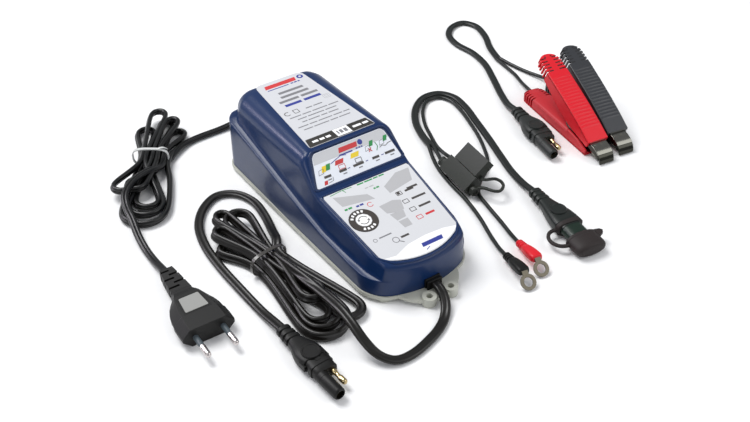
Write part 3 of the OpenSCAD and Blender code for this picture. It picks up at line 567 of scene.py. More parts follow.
PROGRAM_RIM = [[-27.6, 13.2], [27.6, 13.2], [30.8, 10.6], [36, -12.2], [-36, -12.2], [-30.8, 10.6]]
bead(PROGRAM_RIM, PROGRAM, 0.9)
CONTROL_RIM = [[-34.9, 36.2], [34.9, 36.2], [31.4, -26], [24, -34], [12, -38.2], [0, -39.2], [-12, -38.2],
    [-24, -34], [-31.4, -26]]
bead(CONTROL_RIM, CONTROL, 0.85)
shell.done(angle=50)


# ---------------------------------------------------------------- printed panels

def flat_sheet(piece, outline, plane, lift, thick, mat):
    o = np.array(outline, float)
    a = on_plane(np.column_stack([o, np.full(len(o), -thick)]), *plane, lift)
    b = on_plane(np.column_stack([o, np.zeros(len(o))]), *plane, lift)
    piece.add(skin([a, b]), mat)


def rounded_outline(corners, r, n=5):
    """Polygon with each corner cut to an arc-like curve; r may be one number or one per corner."""
    c = np.array(corners, float)
    out = []
    for i in range(len(c)):
        radius = r[i] if hasattr(r, "__len__") else r
        a, b, d = c[i - 1], c[i], c[(i + 1) % len(c)]
        pa = b + (a - b) / np.linalg.norm(a - b) * radius
        pd = b + (d - b) / np.linalg.norm(d - b) * radius
        for k in np.linspace(0, 1, n):
            out.append(tuple((1 - k) ** 2 * pa + 2 * k * (1 - k) * b + k * k * pd))
    return out


EDGE_R = 52.6     # the control panel's curved front edge


def bowed(x, centre=15.0):
    return x, centre - sqrt(EDGE_R ** 2 - x * x)


LABEL_OUT = rounded_outline([(-19.2, 42.9), (-26.2, -43.7), (26.2, -43.7), (19.2, 42.9)], [5, 1.5, 1.5, 5])
CONTROL_OUT = ([(-34, 33), (-33.2, 35), (33.2, 35), (34, 33), (30.4, -26.5)] +
    [bowed(x) for x in np.linspace(-29, 29, 14)[::-1]] + [(-30.4, -26.5)])
PROGRAM_OUT = rounded_outline([(-26, 11.6), (-28.6, 9.8), (-34, -11.4), (34, -11.4), (28.6, 9.8),
    (26, 11.6)], [1, 2, 2, 2, 2, 1])

BX, BU = -21.4, 5.2     # centre of the touch button on the control panel
BUTTON_HOLE = 9.9


def beside_button(left):
    """The control panel's outline left or right of the button's centre, notched round the button."""
    side = -1 if left else 1
    angles = np.linspace(pi / 2, -pi / 2, 33)
    notch = polar(BX, BU, BUTTON_HOLE, angles if side > 0 else pi - angles)
    top, foot = (BX, 35), bowed(BX)
    if left:
        return CONTROL_OUT[:2] + [top] + notch + [foot] + [p for p in CONTROL_OUT[5:] if p[0] < BX]
    return [p for p in CONTROL_OUT[2:] if p[0] > BX] + [foot] + notch[::-1] + [top]


SHEET_TOP, LAYER = 0.32, 0.04     # a printed sheet's face above its panel, and one layer of print
labels = Piece("printed_panels", "charger", "label", "top_label", "program_panel", "control_panel")
flat_sheet(labels, LABEL_OUT, DECKTOP, SHEET_TOP, 0.3, LABEL)
for left in (True, False):
    flat_sheet(labels, beside_button(left), CONTROL, SHEET_TOP, 0.6, LABEL_PANEL)
flat_sheet(labels, PROGRAM_OUT, PROGRAM, SHEET_TOP, 0.6, LABEL_COOL)
labels.done(angle=30)

marks = Piece("printed_marks", "charger", "label")


def mark(outline, plane, mat, layer=1):
    flat_sheet(marks, outline, plane, SHEET_TOP + LAYER * layer, LAYER * 0.8, mat)


def bar(x, u, w, h, plane, mat, layer=1, slant=0.0):
    mark([(x - w / 2 - slant, u - h / 2), (x + w / 2 - slant, u - h / 2), (x + w / 2 + slant, u + h / 2),
        (x - w / 2 + slant, u + h / 2)], plane, mat, layer)


def words(x, u, widths, h, gap, plane, mat, layer=1):
    """A centred row of plain dashes in place of a line of print."""
    total = sum(widths) + gap * (len(widths) - 1)
    at = x - total / 2
    for w in widths:
        bar(at + w / 2, u, w, h, plane, mat, layer)
        at += w + gap


def line(points, width, plane, mat, layer=1):
    p = np.array(points, float)
    for a, b in zip(p[:-1], p[1:]):
        d = (b - a) / np.linalg.norm(b - a)
        n = np.array([-d[1], d[0]]) * width / 2
        mark([tuple(a - n), tuple(b - n), tuple(b + n), tuple(a + n)], plane, mat, layer)


def round_outline(x, u, r, n):
    return polar(x, u, r, np.arange(n) * 2 * pi / n)


def arc_outline(x, u, r, start, end, width, n):
    """A curved band of the given width about radius r, between two angles in degrees."""
    a = np.radians(np.linspace(start, end, n))
    return polar(x, u, r + width / 2, a) + polar(x, u, r - width / 2, a[::-1])


def disc(x, u, r, plane, mat, layer=1):
    mark(round_outline(x, u, r, 40), plane, mat, layer)


def arc(x, u, r, start, end, width, plane, mat):
    mark(arc_outline(x, u, r, start, end, width, 14), plane, mat)


def cell(x0, u0, x1, u1, width, plane, mat, layer=1):
    """The outline of an upright rectangle."""
    line([(x0, u0), (x1, u0), (x1, u1), (x0, u1), (x0, u0)], width, plane, mat, layer)


# top label: a plain red and blue head, rows of dashes, and the dark band at the front
bar(-1.5, 36.6, 25, 4.4, DECKTOP, INK_RED, slant=0.6)
disc(15.2, 37.2, 2.5, DECKTOP, INK_BLUE)
disc(15.2, 37.2, 1.1, DECKTOP, LABEL, 2)
bar(-5.5, 32.4, 17, 0.9, DECKTOP, INK_BLUE)
words(8.6, 32.6, [2, 2.4, 1.6], 1.3, 0.7, DECKTOP, INK_BLUE)
for u, widths in ((25.2, [20]), (19.8, [22.5]), (14.4, [15.5, 13.5])):
    words(0.5, u, widths, 2.6, 2.0, DECKTOP, INK_GREY)
words(0.8, 8.8, [13, 13.6], 2.8, 2.2, DECKTOP, INK_BLUE)
arc(-17.5, -0.6, 2.1, 50, 310, 0.6, DECKTOP, INK_DARK)
cell(-12.5, -2.7, -8.8, 1.5, 0.5, DECKTOP, INK_DARK)
cell(15, 2.2, 20, 6.6, 0.35, DECKTOP, INK_PALE)
cell(16.3, 3.4, 18.7, 5.4, 0.3, DECKTOP, INK_PALE)
words(3.5, -1.2, [5, 7], 1.1, 1.2, DECKTOP, INK_GREY)
for u, widths in ((-6.4, [9, 7, 12, 8]), (-10.4, [7, 13, 9]), (-14.6, [4, 9, 5, 8]),
        (-19.2, [8, 6, 11, 7, 5]), (-23.4, [7, 12, 6, 9])):
    words(0.5, u, widths, 1.0, 1.1, DECKTOP, INK_GREY)
mark(rounded_outline([(-24.2, -34.2), (-25.9, -43.4), (25.9, -43.4), (24.2, -34.2)], 0.6), DECKTOP, BAND)
bar(2.6, -38.6, 11.5, 8.4, DECKTOP, INK_WHITE, 2)
words(2.6, -38.6, [1.1, 2.3, 2.6], 4.2, 1.0, DECKTOP, INK_GREY, 3)
words(-14, -38.8, [4.4, 3.6, 3.6], 2.2, 1.3, DECKTOP, INK_WHITE, 2)
words(17.2, -38.8, [6.6, 4.4], 2.2, 1.3, DECKTOP, INK_WHITE, 2)

# program panel: grey head, plain bars, and five steps drawn as small tilted cells
mark([(-25.7, 11.3), (-28.2, 9.6), (-29.6, 4.2), (29.6, 4.2), (28.2, 9.6), (25.7, 11.3)], PROGRAM,
    INK_SILVER)
bar(-1.6, 7.6, 14.5, 3.4, PROGRAM, INK_RED, 2, slant=0.5)
disc(8.3, 8.0, 1.9, PROGRAM, INK_BLUE, 2)
bar(-4.5, 4.4, 10.5, 0.9, PROGRAM, INK_BLUE, 2)
words(6.3, 4.8, [1.6, 1.6, 1.2], 0.9, 0.5, PROGRAM, INK_BLUE, 2)
for x, u, w, h, ink in ((-20.6, 0.2, 3.2, 4, INK_GREEN), (-24.0, -0.2, 3.2, 4, INK_YELLOW),
        (-11.6, 0.6, 6.4, 3.0, INK_RED), (1.0, 1.2, 6.4, 3.2, INK_YELLOW), (15.6, 4.4, 3.0, 3.6, INK_GREEN),
        (27.0, 4.4, 3.0, 3.6, INK_GREEN)):
    bar(x, u, w, h, PROGRAM, ink, 2, slant=0.8)
for x, u in ((-27.4, -1.6), (11.2, 2.0), (22.8, 2.4)):
    line([(x - 1.6, u - 1.6), (x + 2.2, u - 1.2), (x + 3, u + 1.8), (x - 0.6, u + 1.4), (x - 1.6, u - 1.6)],
        0.3, PROGRAM, INK_GREY, 2)
for x, ink in ((-11, INK_RED), (2.2, INK_DARK)):
    cell(x - 2.4, -4.4, x + 2.4, -1.6, 0.4, PROGRAM, ink, 2)
line([(-18, 1.4), (-9, 4.2), (-4.8, 3.4)], 0.45, PROGRAM, INK_BLUE, 3)
line([(12, -0.8), (14.4, 1.8)], 0.6, PROGRAM, INK_RED, 3)
line([(14.4, -0.8), (12, 1.8)], 0.6, PROGRAM, INK_RED, 3)
line([(18.6, 4.2), (19.6, 1.0), (17.8, -1.6)], 0.5, PROGRAM, INK_GREEN, 3)
line([(20.6, -0.4), (23, 0.4), (25.4, -0.6), (28, 0.6), (30.6, 0.8)], 0.4, PROGRAM, INK_DARK, 3)
for x, w in ((-23.4, 5.4), (-11.4, 5.8), (1.0, 8.4), (15, 5.6), (26.6, 8)):
    bar(x, -5.6, w, 1.7, PROGRAM, INK_DARK, 2)
for x in (-6.8, 7.8, 20.6):
    line([(x - 1, -5.6), (x + 1, -5.6)], 0.5, PROGRAM, INK_BLUE, 2)
for x in (-22.6, -10.6, 1.8, 15.6, 27.6):
    bar(x, -8.0, 3.0, 0.7, PROGRAM, INK_GREY, 2)
bar(-26.2, -9.2, 2.6, 2.6, PROGRAM, INK_RED, 2, slant=0.5)
line([(-24.4, -10), (-20.6, -9.4), (-20, -7)], 0.3, PROGRAM, INK_GREY, 2)

# control panel: grey windows, status marks and the ring round the touch button
for window in ([(-28.4, 31.7), (-27.0, 21.8), (-4.0, 17.8), (-6.4, 23.7)],
        [(7.4, 24.0), (7.6, 17.1), (27.8, 20.3), (32.2, 31.0), (21.5, 31.2)],
        [(-5.8, 10.6), (-4.7, 2.9), (0.4, 1.1), (7.7, 1.1), (10.3, 8.9), (5.1, 11.2)],
        [(-3.7, 1.2), (-2.2, -5.5), (5.0, -5.0), (6.8, 0.9), (3.1, 1.0)],
        [(-2.1, -6.5), (-1.4, -12.8), (4.6, -12.8), (5.1, -6.5)]):
    mark(window, CONTROL, INK_PALE)
line([(-29, 33.6), (-20, 34.4), (-12, 34.0)], 0.5, CONTROL, INK_GREEN)
line([(-19, 34.2), (-18, 31.6)], 0.5, CONTROL, INK_GREEN)
words(3, 33.8, [5, 6.4, 3.6, 4.2], 1.1, 0.8, CONTROL, INK_GREEN)
words(-1.5, 28.6, [2.6, 3.4], 0.9, 0.7, CONTROL, INK_PALE)
words(2.4, 25.8, [1.6, 2.2], 1.3, 0.5, CONTROL, INK_GREEN)
words(-24.6, 18.4, [2.2, 2.8], 1.5, 0.6, CONTROL, INK_GREEN)
words(-16.2, 17.6, [2.2, 2.8], 1.5, 0.6, CONTROL, INK_BLUE)
arc(-9.8, 15.0, 1.9, 30, 330, 0.45, CONTROL, INK_RED)
for u, w, ink in ((14.0, 6.8, INK_DARK), (6.0, 11, INK_DARK), (-2.0, 9.4, INK_DARK), (-9.8, 7, INK_RED)):
    bar(18.4 + w / 2 - 1, u, w, 1.7, CONTROL, ink)
    cell(10.6, u - 1.5, 14.6, u + 1.5, 0.45, CONTROL, ink)
bar(24, 15.2, 8.4, 1.7, CONTROL, INK_DARK)
bar(12.2, 14.4, 2.2, 2.6, CONTROL, INK_DARK, 2)
arc(-24.6, -12.8, 1.3, 0, 360, 0.4, CONTROL, INK_GREY)
words(-16.6, -12.4, [9.4], 1.0, 0.8, CONTROL, INK_GREY)
arc(-12.6, -18.6, 2.2, 0, 360, 0.5, CONTROL, INK_GREY)
line([(-11, -20.4), (-8.6, -22.6)], 0.7, CONTROL, INK_GREY)
bar(-5.4, -18.4, 6.2, 1.6, CONTROL, INK_DARK)
mark([(-29.6, -28)] + [bowed(x, 15.8) for x in np.linspace(-28.6, 29.2, 16)] +
    [(29.8, -27.5), (20, -25.0), (6, -24.2), (-8, -25.4), (-20, -29.6)], CONTROL, INK_WHITE)
bar(7.5, -30.6, 16, 3.2, CONTROL, INK_BLUE, 2, slant=0.4)
line([(0, -35), (3.4, -33.6)], 0.5, CONTROL, INK_BLUE, 2)
marks.done(angle=30)

# touch button: dark ring with a pale middle and two turning arrows
button = Piece("touch_ring", "button", "button", "touch_button")


def on_button(outline, lift, thick, mat):
    flat_sheet(button, outline, CONTROL, lift, thick, mat)


def button_arc(r, start, end, width, mat):
    on_button(arc_outline(BX, BU, r, start, end, width, 12), 0.78, 0.04, mat)


on_button(round_outline(BX, BU, 9.7, 64), 0.66, 1.4, BUTTON)
on_button(round_outline(BX, BU, 3.0, 24), -0.75, 2.1, BUTTON)
on_button(round_outline(BX, BU, 5.4, 64), 0.72, 0.05, INK_WHITE)
button_arc(5.4, 0, 359, 0.35, INK_PALE)
for start in (20, 200):
    button_arc(3.3, start, start + 130, 0.55, INK_DARK)
for a in (155, 335):
    k = radians(a)
    across_ring = polar(BX, BU, 2.3, [k]) + polar(BX, BU, 4.3, [k])
    ahead = (BX + 3.3 * cos(k) - 1.5 * sin(k), BU + 3.3 * sin(k) + 1.5 * cos(k))
    on_button(across_ring + [ahead], 0.80, 0.04, INK_DARK)
for a in (62, 82, 102, 122, 142, 236, 256, 276, 296):
    button_arc(7.6, a, a + 11, 1.9, INK_WHITE)
button.done(angle=30)


# ---------------------------------------------------------------- more shape tools

def plate(outline, holes, z0, z1):
    """A flat plate with holes; every loop is a list of (x, y)."""
    loops = [outline] + holes
    flat = [Vector((x, y, 0)) for loop in loops for x, y in loop]
    tris = tessellate_polygon([[Vector((x, y, 0)) for x, y in loop] for loop in loops])
    n = len(flat)
    verts = np.array([(p.x, p.y, z) for z in (z0, z1) for p in flat])
    faces = [tuple(reversed(t)) for t in tris] + [tuple(i + n for i in t) for t in tris]
    start = 0
    for loop in loops:
        m = len(loop)
        faces += [(start + k, start + (k + 1) % m, n + start + (k + 1) % m, n + start + k)
            for k in range(m)]
        start += m
    return verts, faces


def ribbon(path, width, t):
    """A strip of sheet metal along a path of (x, z) in the upright plane, width across Y."""
    p = np.array(path, float)
    d = np.gradient(p, axis=0)
    d /= np.linalg.norm(d, axis=1)[:, None]
    n = np.stack([-d[:, 1], d[:, 0]], 1) * t / 2
    w = np.broadcast_to(width, (len(p),)) / 2
    return skin([[(a[0] - b[0], -k, a[1] - b[1]), (a[0] - b[0], k, a[1] - b[1]),
        (a[0] + b[0], k, a[1] + b[1]), (a[0] + b[0], -k, a[1] + b[1])] for a, b, k in zip(p, n, w)])


def smooth_xz(points, step=0.8):
    return spline([(x, 0, z) for x, z in points], step)[:, [0, 2]]


# ---------------------------------------------------------------- two-pole connectors

def connector_shape(piece, mat, nose_mat, flared):
    """Strain relief, body with a round pad, collar and socket nose. The bullet is on +Y."""
    half = [(0.4, 8.0, 6.0, 2.6)]
    for i in range(3):
        x, w = 0.9 + i * 4.4, 9.5 + i * 0.6
        half += [(x, w - 0.9, 6.3, 2.6), (x + 0.3, w, 7.0, 2.8), (x + 2.5, w + 0.2, 7.0, 2.8),
            (x + 2.8, w - 0.7, 6.3, 2.6), (x + 3.0, 7.9 + i * 0.5, 5.6, 2.4),
            (x + 4.1, 8.1 + i * 0.5, 5.7, 2.4)]
    if flared:
        half += [(14.2, 10.2, 7.0, 3), (17, 11.0, 7.4, 3.2), (22, 13.4, 8.4, 3.4), (28, 16.4, 9.6, 3.6),
            (34, 18.6, 10.2, 3.8), (39, 19.7, 10.4, 3.8), (41.6, 19.8, 10.4, 3.8), (42.2, 17, 9.6, 3.8),
            (47, 16.2, 9.4, 3.4)]
    else:
        half += [(14.2, 10.4, 7.2, 3), (16.5, 11.2, 7.6, 3.2), (19.5, 13.2, 8.5, 3.4), (23, 15.8, 9.6, 3.6),
            (26.5, 17.4, 10, 4), (31, 17.7, 10, 4.4), (34.2, 17.3, 10, 4.4), (34.9, 16.6, 9.6, 4.4),
            (35.0, 15.0, 9.0, 4), (38.8, 14.8, 9.0, 4), (39.0, 16.4, 10, 4), (41.6, 16.4, 10, 4),
            (41.8, 15.0, 9.0, 4), (46.6, 14.8, 8.8, 4), (47.0, 14.2, 8.2, 4)]
    piece.add(loft_x(half), mat)
    nose = [(45, 4.2), (50, 4.2), (50.1, 4.05), (50.9, 4.05), (51, 4.2), (63.4, 4.1), (64.5, 3.8),
        (65, 3.3), (65, 2.95), (47, 2.95)]
    piece.add(lathe_x(nose, y=-4), nose_mat)
    pad = [(4.4, 6.0), (5.5, 6.0), (5.9, 5.7), (5.9, 5.0), (5.6, 4.7), (5.6, 0)]
    piece.add(lathe_z(pad, 30 if flared else 30.6), mat)
    if flared:
        piece.add(loft_x([(46, 15.4, 9.2, 3), (55, 15.2, 9.0, 3), (56.4, 14.6, 8.6, 3)]), nose_mat)
    else:
        piece.add(box(35.2, 38.8, -1.6, 1.6, 4.2, 5.0), mat)
        for y in (-8.3, 8.3):
            piece.add(box(30.5, 36.5, y - 0.8, y + 0.8, -2.0, 2.0), mat)


def bullet(piece):
    profile = [(46, 1.85), (47.1, 1.9), (49.5, 1.9), (50.2, 1.45), (52.4, 1.35), (53.6, 1.6), (54.6, 1.9),
        (57.6, 1.95), (58.8, 1.8), (59.6, 1.3), (60, 0.5)]
    piece.add(lathe_x(profile, y=4), BRASS)
    piece.add(lathe_x([(46.1, 2.8), (62, 2.8), (62, 2.1), (48.2, 2.1)], y=-4), BRASS)


CONNECTORS = {"dc": ((-100, -72, 5.6), -86, "charger", MOULD, MOULD, False),
    "clamp": ((177, 32, 5.6), -101, "clamp_lead", MOULD_SOFT, MOULD_SOFT, False),
    "ring": ((118.6, -55.6, 5.6), -98, "ring_lead", MOULD_OLIVE, NOSE_GREEN, True)}
plugs = {}
for key, (at, turn, body, mat, nose_mat, flared) in CONNECTORS.items():
    p = Piece(key + "_plug_moulding", body, "connector_green" if flared else "connector_black",
        key + "_connector", at=at, turn=turn)
    connector_shape(p, mat, nose_mat, flared)
    q = Piece(key + "_plug_contacts", body, "contact_brass", key + "_contacts", at=at, turn=turn)
    bullet(q)
    plugs[key] = [p.done(angle=40), q.done(angle=50)]

# rubber collar, tether and cap of the ring lead's connector
RING_PLUG = dict(at=CONNECTORS["ring"][0], turn=CONNECTORS["ring"][1])
collar = Piece("cap_collar", "ring_lead", "cap_rubber", **RING_PLUG)
collar.add(loft_x([(41.9, 19.4, 10.4, 2.8), (42.2, 21, 11.2, 2.8), (45.2, 21, 11.2, 2.8),
    (45.6, 20, 10.6, 2.8)]), RUBBER)
plugs["ring"].append(collar.done(angle=50))
tether_path = spline([(44, -8.6, 0), (43.2, -12, 0), (44.2, -16.2, 0), (48.2, -19.6, 0), (53.6, -20.2, 0),
    (58.4, -17.6, 0), (60.6, -13, 0), (61, -9.6, 0)], 0.8)
tether = Piece("cap_strap", None, "cap_rubber", "cap_tether", **RING_PLUG)
tether.add(sweep(tether_path, super_section(2.6, 2.4, 2.6, 12)), RUBBER)
tether = tether.done(angle=60)
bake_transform(tether)
cap = Piece("rubber_weather_cap", "weather_cap", "cap_rubber", "weather_cap", **RING_PLUG)
cap.add(loft_x([(56.4, 17.5, 9.6, 2.4), (56.8, 20.6, 10.4, 2.4), (57.2, 22.8, 11.0, 2.4),
    (57.6, 24, 11.4, 2.4), (59.0, 24, 11.4, 2.4), (59.4, 23.0, 10.8, 2.4), (62, 23.4, 11.0, 2.4),
    (68, 23.4, 11.0, 2.4), (70.4, 22.6, 10.4, 2.3), (71.8, 20.8, 9.2, 2.2), (72.5, 17.6, 7.0, 2.2)]),
    RUBBER)
cap.add(prism([(56.4, 10.5), (57.4, 15.0), (59.4, 16.6), (61.8, 15.2), (64, 11)], 0.6, 2.8), RUBBER)
cap.done(angle=50, bevel=0.4)


# ---------------------------------------------------------------- mains plug

PLUG = dict(at=(-136.4, 14, 6.85), turn=-91.4)
plug = Piece("mains_plug_body", "charger", "plug_plastic", "plug_body", **PLUG)
RELIEF = [(1.0, -4.4), (3.2, -4.7), (3.2, 0.8), (4.6, 0.8), (4.6, -4.9), (11.2, -5.6), (11.2, 1.0),
    (12.8, 1.0), (12.8, -5.8), (19.4, -6.3), (19.4, 1.0), (21.0, 1.0), (21.0, -6.4), (25, -6.9), (25, 6.9),
    (17.0, 6.2), (17.0, -1.0), (15.4, -1.0), (15.4, 6.0), (8.8, 5.4), (8.8, -0.8), (7.2, -0.8), (7.2, 5.2),
    (1.0, 4.4)]
plug.add(prism(RELIEF, -4.1, 4.1), MOULD_GREY)
plug.add(loft_x([(0.4, 6.2, 4.6, 3), (24, 8.6, 6.4, 3)]), MOULD)


def facet_ring(x, side, top, h, edge=1.3):
    return [(x, side, -edge), (x, side, edge), (x, top, h), (x, -top, h), (x, -side, edge),
        (x, -side, -edge), (x, -top, -h), (x, top, -h)]


body = [(24.2, 7.0, 6.0, 4.4), (25.4, 7.2, 6.2, 4.9), (26.0, 7.3, 6.3, 4.9), (27.4, 7.8, 6.5, 5.0),
    (29.0, 8.8, 7.0, 5.5), (30.6, 10.0, 7.6, 6.2), (32.6, 11.5, 8.4, 6.6), (36, 13.6, 9.4, 6.7),
    (40, 15.3, 10.2, 6.75), (45, 16.5, 11.0, 6.8), (50.4, 16.9, 11.5, 6.8), (50.6, 17.4, 11.6, 6.8),
    (57, 17.65, 12.0, 6.8), (63.6, 17.5, 12.1, 6.8), (64, 17.1, 11.8, 6.5)]
plug.add(skin([facet_ring(x, side, top, h) for x, side, top, h in body]), MOULD_GREY)
# a thin dark frame round the pad: painted shade standing for the groove round it
plug.add(prism(rounded_outline([(34, -8.2), (50.2, -9.6), (50.2, 9.6), (34, 8.2)], 0.8), 6.5, 6.87), MOULD)
plug.add(prism(rounded_outline([(35.4, -6.6), (48.8, -7.8), (48.8, 7.8), (35.4, 6.6)], 0.8), 6.6, 7.25),
    PLUG_PAD)
plug_body = plug.done(angle=30, bevel=0.35)
pins = Piece("mains_plug_pins", "charger", "pin_nickel", "plug_pins", **PLUG)
for y in (-9.3, 9.3):
    pins.add(lathe_x([(63, 1.85), (73.2, 1.85), (73.4, 1.9)], y), SLEEVE)
    pins.add(lathe_x([(73.4, 1.98), (80.6, 2.0), (82, 1.75), (82.7, 1.25), (83, 0.5)], y), NICKEL)
plug_pins = pins.done(angle=50)


# ---------------------------------------------------------------- battery clamps

def handle_shell(piece, mat, inner_mat, length, face, edge, ribs, up):
    """Half of a clamp handle: a skin along face(x) and walls from it to edge(x), with a slotted
    round tail. up is 1 where the walls rise from the skin and -1 where they hang from it."""
    r, t = 9.0, 1.8
    # the dark sheets in the slots and the two holes below are painted shade
    slot_shade = SLOT_PAINTED_SHADE if mat is RED else BLACK
    open_from = length - 24      # where the jaw comes out of the lower handle
    slots = [(4.0 + i * 3.1, 5.5 + i * 3.1) for i in range(5)]

    def half(x):
        return sqrt(max(0.01, r * r - (r - x) ** 2)) if x < r else r

    def ring(x, cut=0.0):
        w, z = half(x) - cut, face(x)
        q = min(w, 0.7)
        bump = ribs(x) if ribs else 0
        rows = [(-w, z + up * t), (-w, z + up * 0.5), (-w + q * 0.5, z + up * 0.1), (-w + q, z),
            (-w * 0.86, z - up * bump), (w * 0.86, z - up * bump), (w - q, z), (w - q * 0.5, z + up * 0.1),
            (w, z + up * 0.5), (w, z + up * t)]
        return [(x, y, zz) for y, zz in rows]

    xs = [0.05, 0.3, 0.8, 1.6, 2.6]
    rings = [ring(x) for x in xs]
    for a, b in slots:
        rings += [ring(a - 0.35), ring(a), ring(a + 0.02, 2.6), ring(b - 0.02, 2.6), ring(b)]
    x = slots[-1][1] + 0.6
    while x < length - 0.5:
        rings.append(ring(x))
        x += 0.45
    rings.append(ring(length))
    piece.add(skin(rings), mat)
    outline = [(x, -r) for x in np.arange(length, r, -0.5)]
    outline += polar(r, 0, r, np.linspace(-pi / 2, -1.5 * pi, 60))
    outline += [(x, r) for x in np.arange(r + 0.5, length + 0.01, 0.5)]
    runs, run = [], []
    for k, (x, y) in enumerate(outline):
        if any(a < x < b for a, b in slots) and abs(y) > 3:
            runs, run = runs + ([run] if len(run) > 1 else []), []
            continue
        run.append((x, y))
    runs.append(run)
    for run in runs:
        rings = []
        for x, y in run:
            inward = np.array([r - x, -y]) if x < r else np.array([0, -copysign(1, y)])
            inward = inward / np.linalg.norm(inward) * t
            a, b = face(x) + up * 0.4, edge(x) - (1.5 if up > 0 and x < open_from else 0)
            rings.append([(x, y, a), (x, y, b - up * 0.3), (x + inward[0] * 0.3, y + inward[1] * 0.3, b),
                (x + inward[0], y + inward[1], b), (x + inward[0], y + inward[1], a)])
        if len(rings) > 1:
            piece.add(skin(rings), mat if up < 0 else inner_mat)
    if up > 0:
        spans = [(0.5, 0.3), (1.2, 0.3), (2.2, 0.3), (3.6, 0.3)]
        for p, q in slots:
            spans += [(p, 0.3), (p + 0.05, 3.4), (q - 0.05, 3.4), (q, 0.3)]
        spans += [(x, 0.3) for x in np.arange(slots[-1][1] + 1, open_from, 2)]
        rings = []
        for x, k in spans:
            w, top = half(x) - k, edge(x) - 0.1 - 0.09 * max(0, 4.5 - x) ** 2
            side = [(w, top - 2), (w, top - 1.5), (w - 0.4, top - 0.8), (w - min(1.4, w / 2), top - 0.25)]
            rings.append([(x, y, z) for y, z in side] + [(x, 0, top)] + [(x, -y, z) for y, z in side[::-1]])
        piece.add(skin(rings), inner_mat)
    else:
        for a, b in slots:
            for y in (-4.4, 4.4):
                x = (a + b) / 2
                piece.add(box(x - 0.6, x + 0.6, y - 1.7, y + 1.7, face(x) - 0.3, face(x) + 0.05), slot_shade)
        for y in (-2.6, 2.6):
            piece.add(lathe_z([(face(3.4) - 0.4, 0.8), (face(3.4) + 0.05, 0.8)], 3.4, y, 12), slot_shade)


def curve(table):
    xs, zs = zip(*table)
    return lambda x: float(np.interp(x, xs, zs))


LOWER_FACE = curve([(0, 1.4), (2, 0.2), (4, 0.05), (90, 0.05)])
LOWER_EDGE = curve([(0, 6), (3, 7.6), (10, 8.6), (24, 9.2), (52, 9.5), (70, 9), (80, 7.8), (90, 4.4)])
UPPER_FACE = curve([(0, 11.2), (1, 11.9), (3, 12.5), (12, 13.4), (22, 14.0), (40, 14.4), (54, 14.35),
    (70, 13.6), (84, 12.3)])
UPPER_EDGE = curve([(0, 7.6), (6, 6.4), (20, 4.4), (34, 2.4), (46, 1.3), (60, 1.7), (70, 3.6), (84, 6.6)])


def rib_height(x):
    return 0.42 * max(0.0, sin((x - 24) / 2.9 * 2 * pi)) if 24 < x < 72 else 0.0


def clamp_jaws(piece, upper):
    if upper:
        path = smooth_xz([(-8, 9.9), (12, 9.9), (24, 10.0), (30.5, 11.0), (35.6, 10.5), (39.2, 8.3),
            (41.0, 5.9)])
        curl = int(np.argmax(path[:, 0] > 35.4))
        piece.add(ribbon(path[:curl + 1], 13.4, 1.1), CHROME)
        # the curl and the side walls are painted darker: painted shade and painted dark reflection
        piece.add(ribbon(path[curl:], np.interp(path[curl:, 0], [35, 41], [13.4, 12.6]), 1.1), CHROME_PAINTED_SHADE)
        wall = [(14, 9.8), (24, 9.7), (30.5, 10.6), (35.4, 10.2), (38.6, 8.2), (37.6, 7.4), (34, 7.6),
            (28, 6.6), (22, 5.4), (14, 6.4)]
        for y in (-6.3, 6.3):
            piece.add(moved(across(wall, 1.0), (0, y, 0)), CHROME_PAINTED_SHADE)
        for y in (-2.9, 2.9):
            piece.add(box(26.4, 30.8, y - 1.7, y + 1.7, 10.2, 11.4), CHROME)
        ears = [(-9, 9.6), (16, 9.6), (5, -2.4), (3, -3.6), (-3, -3.6), (-5, -2.4)]
        for y in (-6.2, 6.2):
            piece.add(moved(across(ears, 1.2), (0, y, 0)), CHROME)
    else:
        path = smooth_xz([(18, 2.7), (60, 2.7), (92, 2.7), (98.6, 2.9), (100.7, 3.8), (101.1, 5.5)])
        piece.add(ribbon(path, 10.6, 1.1), CHROME)
        wall = [(80, 2.4), (98.6, 2.5), (99.8, 4.2), (97, 6.2), (86, 6.6), (80, 6.0)]
        ears = [(56, 2.2), (82, 2.2), (76, 7), (71, 14), (69, 15.4), (63, 15.4), (61, 14)]
        for y in (-4.75, 4.75):
            for shape in (wall, ears):
                piece.add(moved(across(shape, 1.1), (0, y, 0)), CHROME)
        piece.add(box(18, 27, -2.6, 2.6, 3.2, 6.6), CHROME)


PIVOT, OPEN_ANGLE, TAIL_BACK = (66, 12), 24, -60


def jaw_spring(name, **place):
    """The coil and its lower leg stay with the lower jaw. The upper leg turns with the upper jaw."""
    side, r = radians(127.6), 2.75
    t = np.linspace(-side, side + 10 * pi, 130)
    coil = np.column_stack([PIVOT[0] + r * np.cos(t), np.linspace(3, -3, len(t)), PIVOT[1] + r * np.sin(t)])
    low_leg = np.linspace((50, 3, 3.9), coil[0], 12, endpoint=False)
    still = Piece(name + "_spring_coil", "clamp_lead", "screw_steel", name + "_spring", **place)
    still.add(sweep(np.vstack([low_leg, coil]), circle(0.55, 8)), STEEL)
    turning = Piece(name + "_spring_leg", name + "_jaws", "screw_steel", **place)
    turning.add(sweep(np.linspace(coil[-1], (59.8, -3, 23.4), 12), circle(0.55, 8)), STEEL)
    still.done(angle=50)
    turning.done(angle=50)
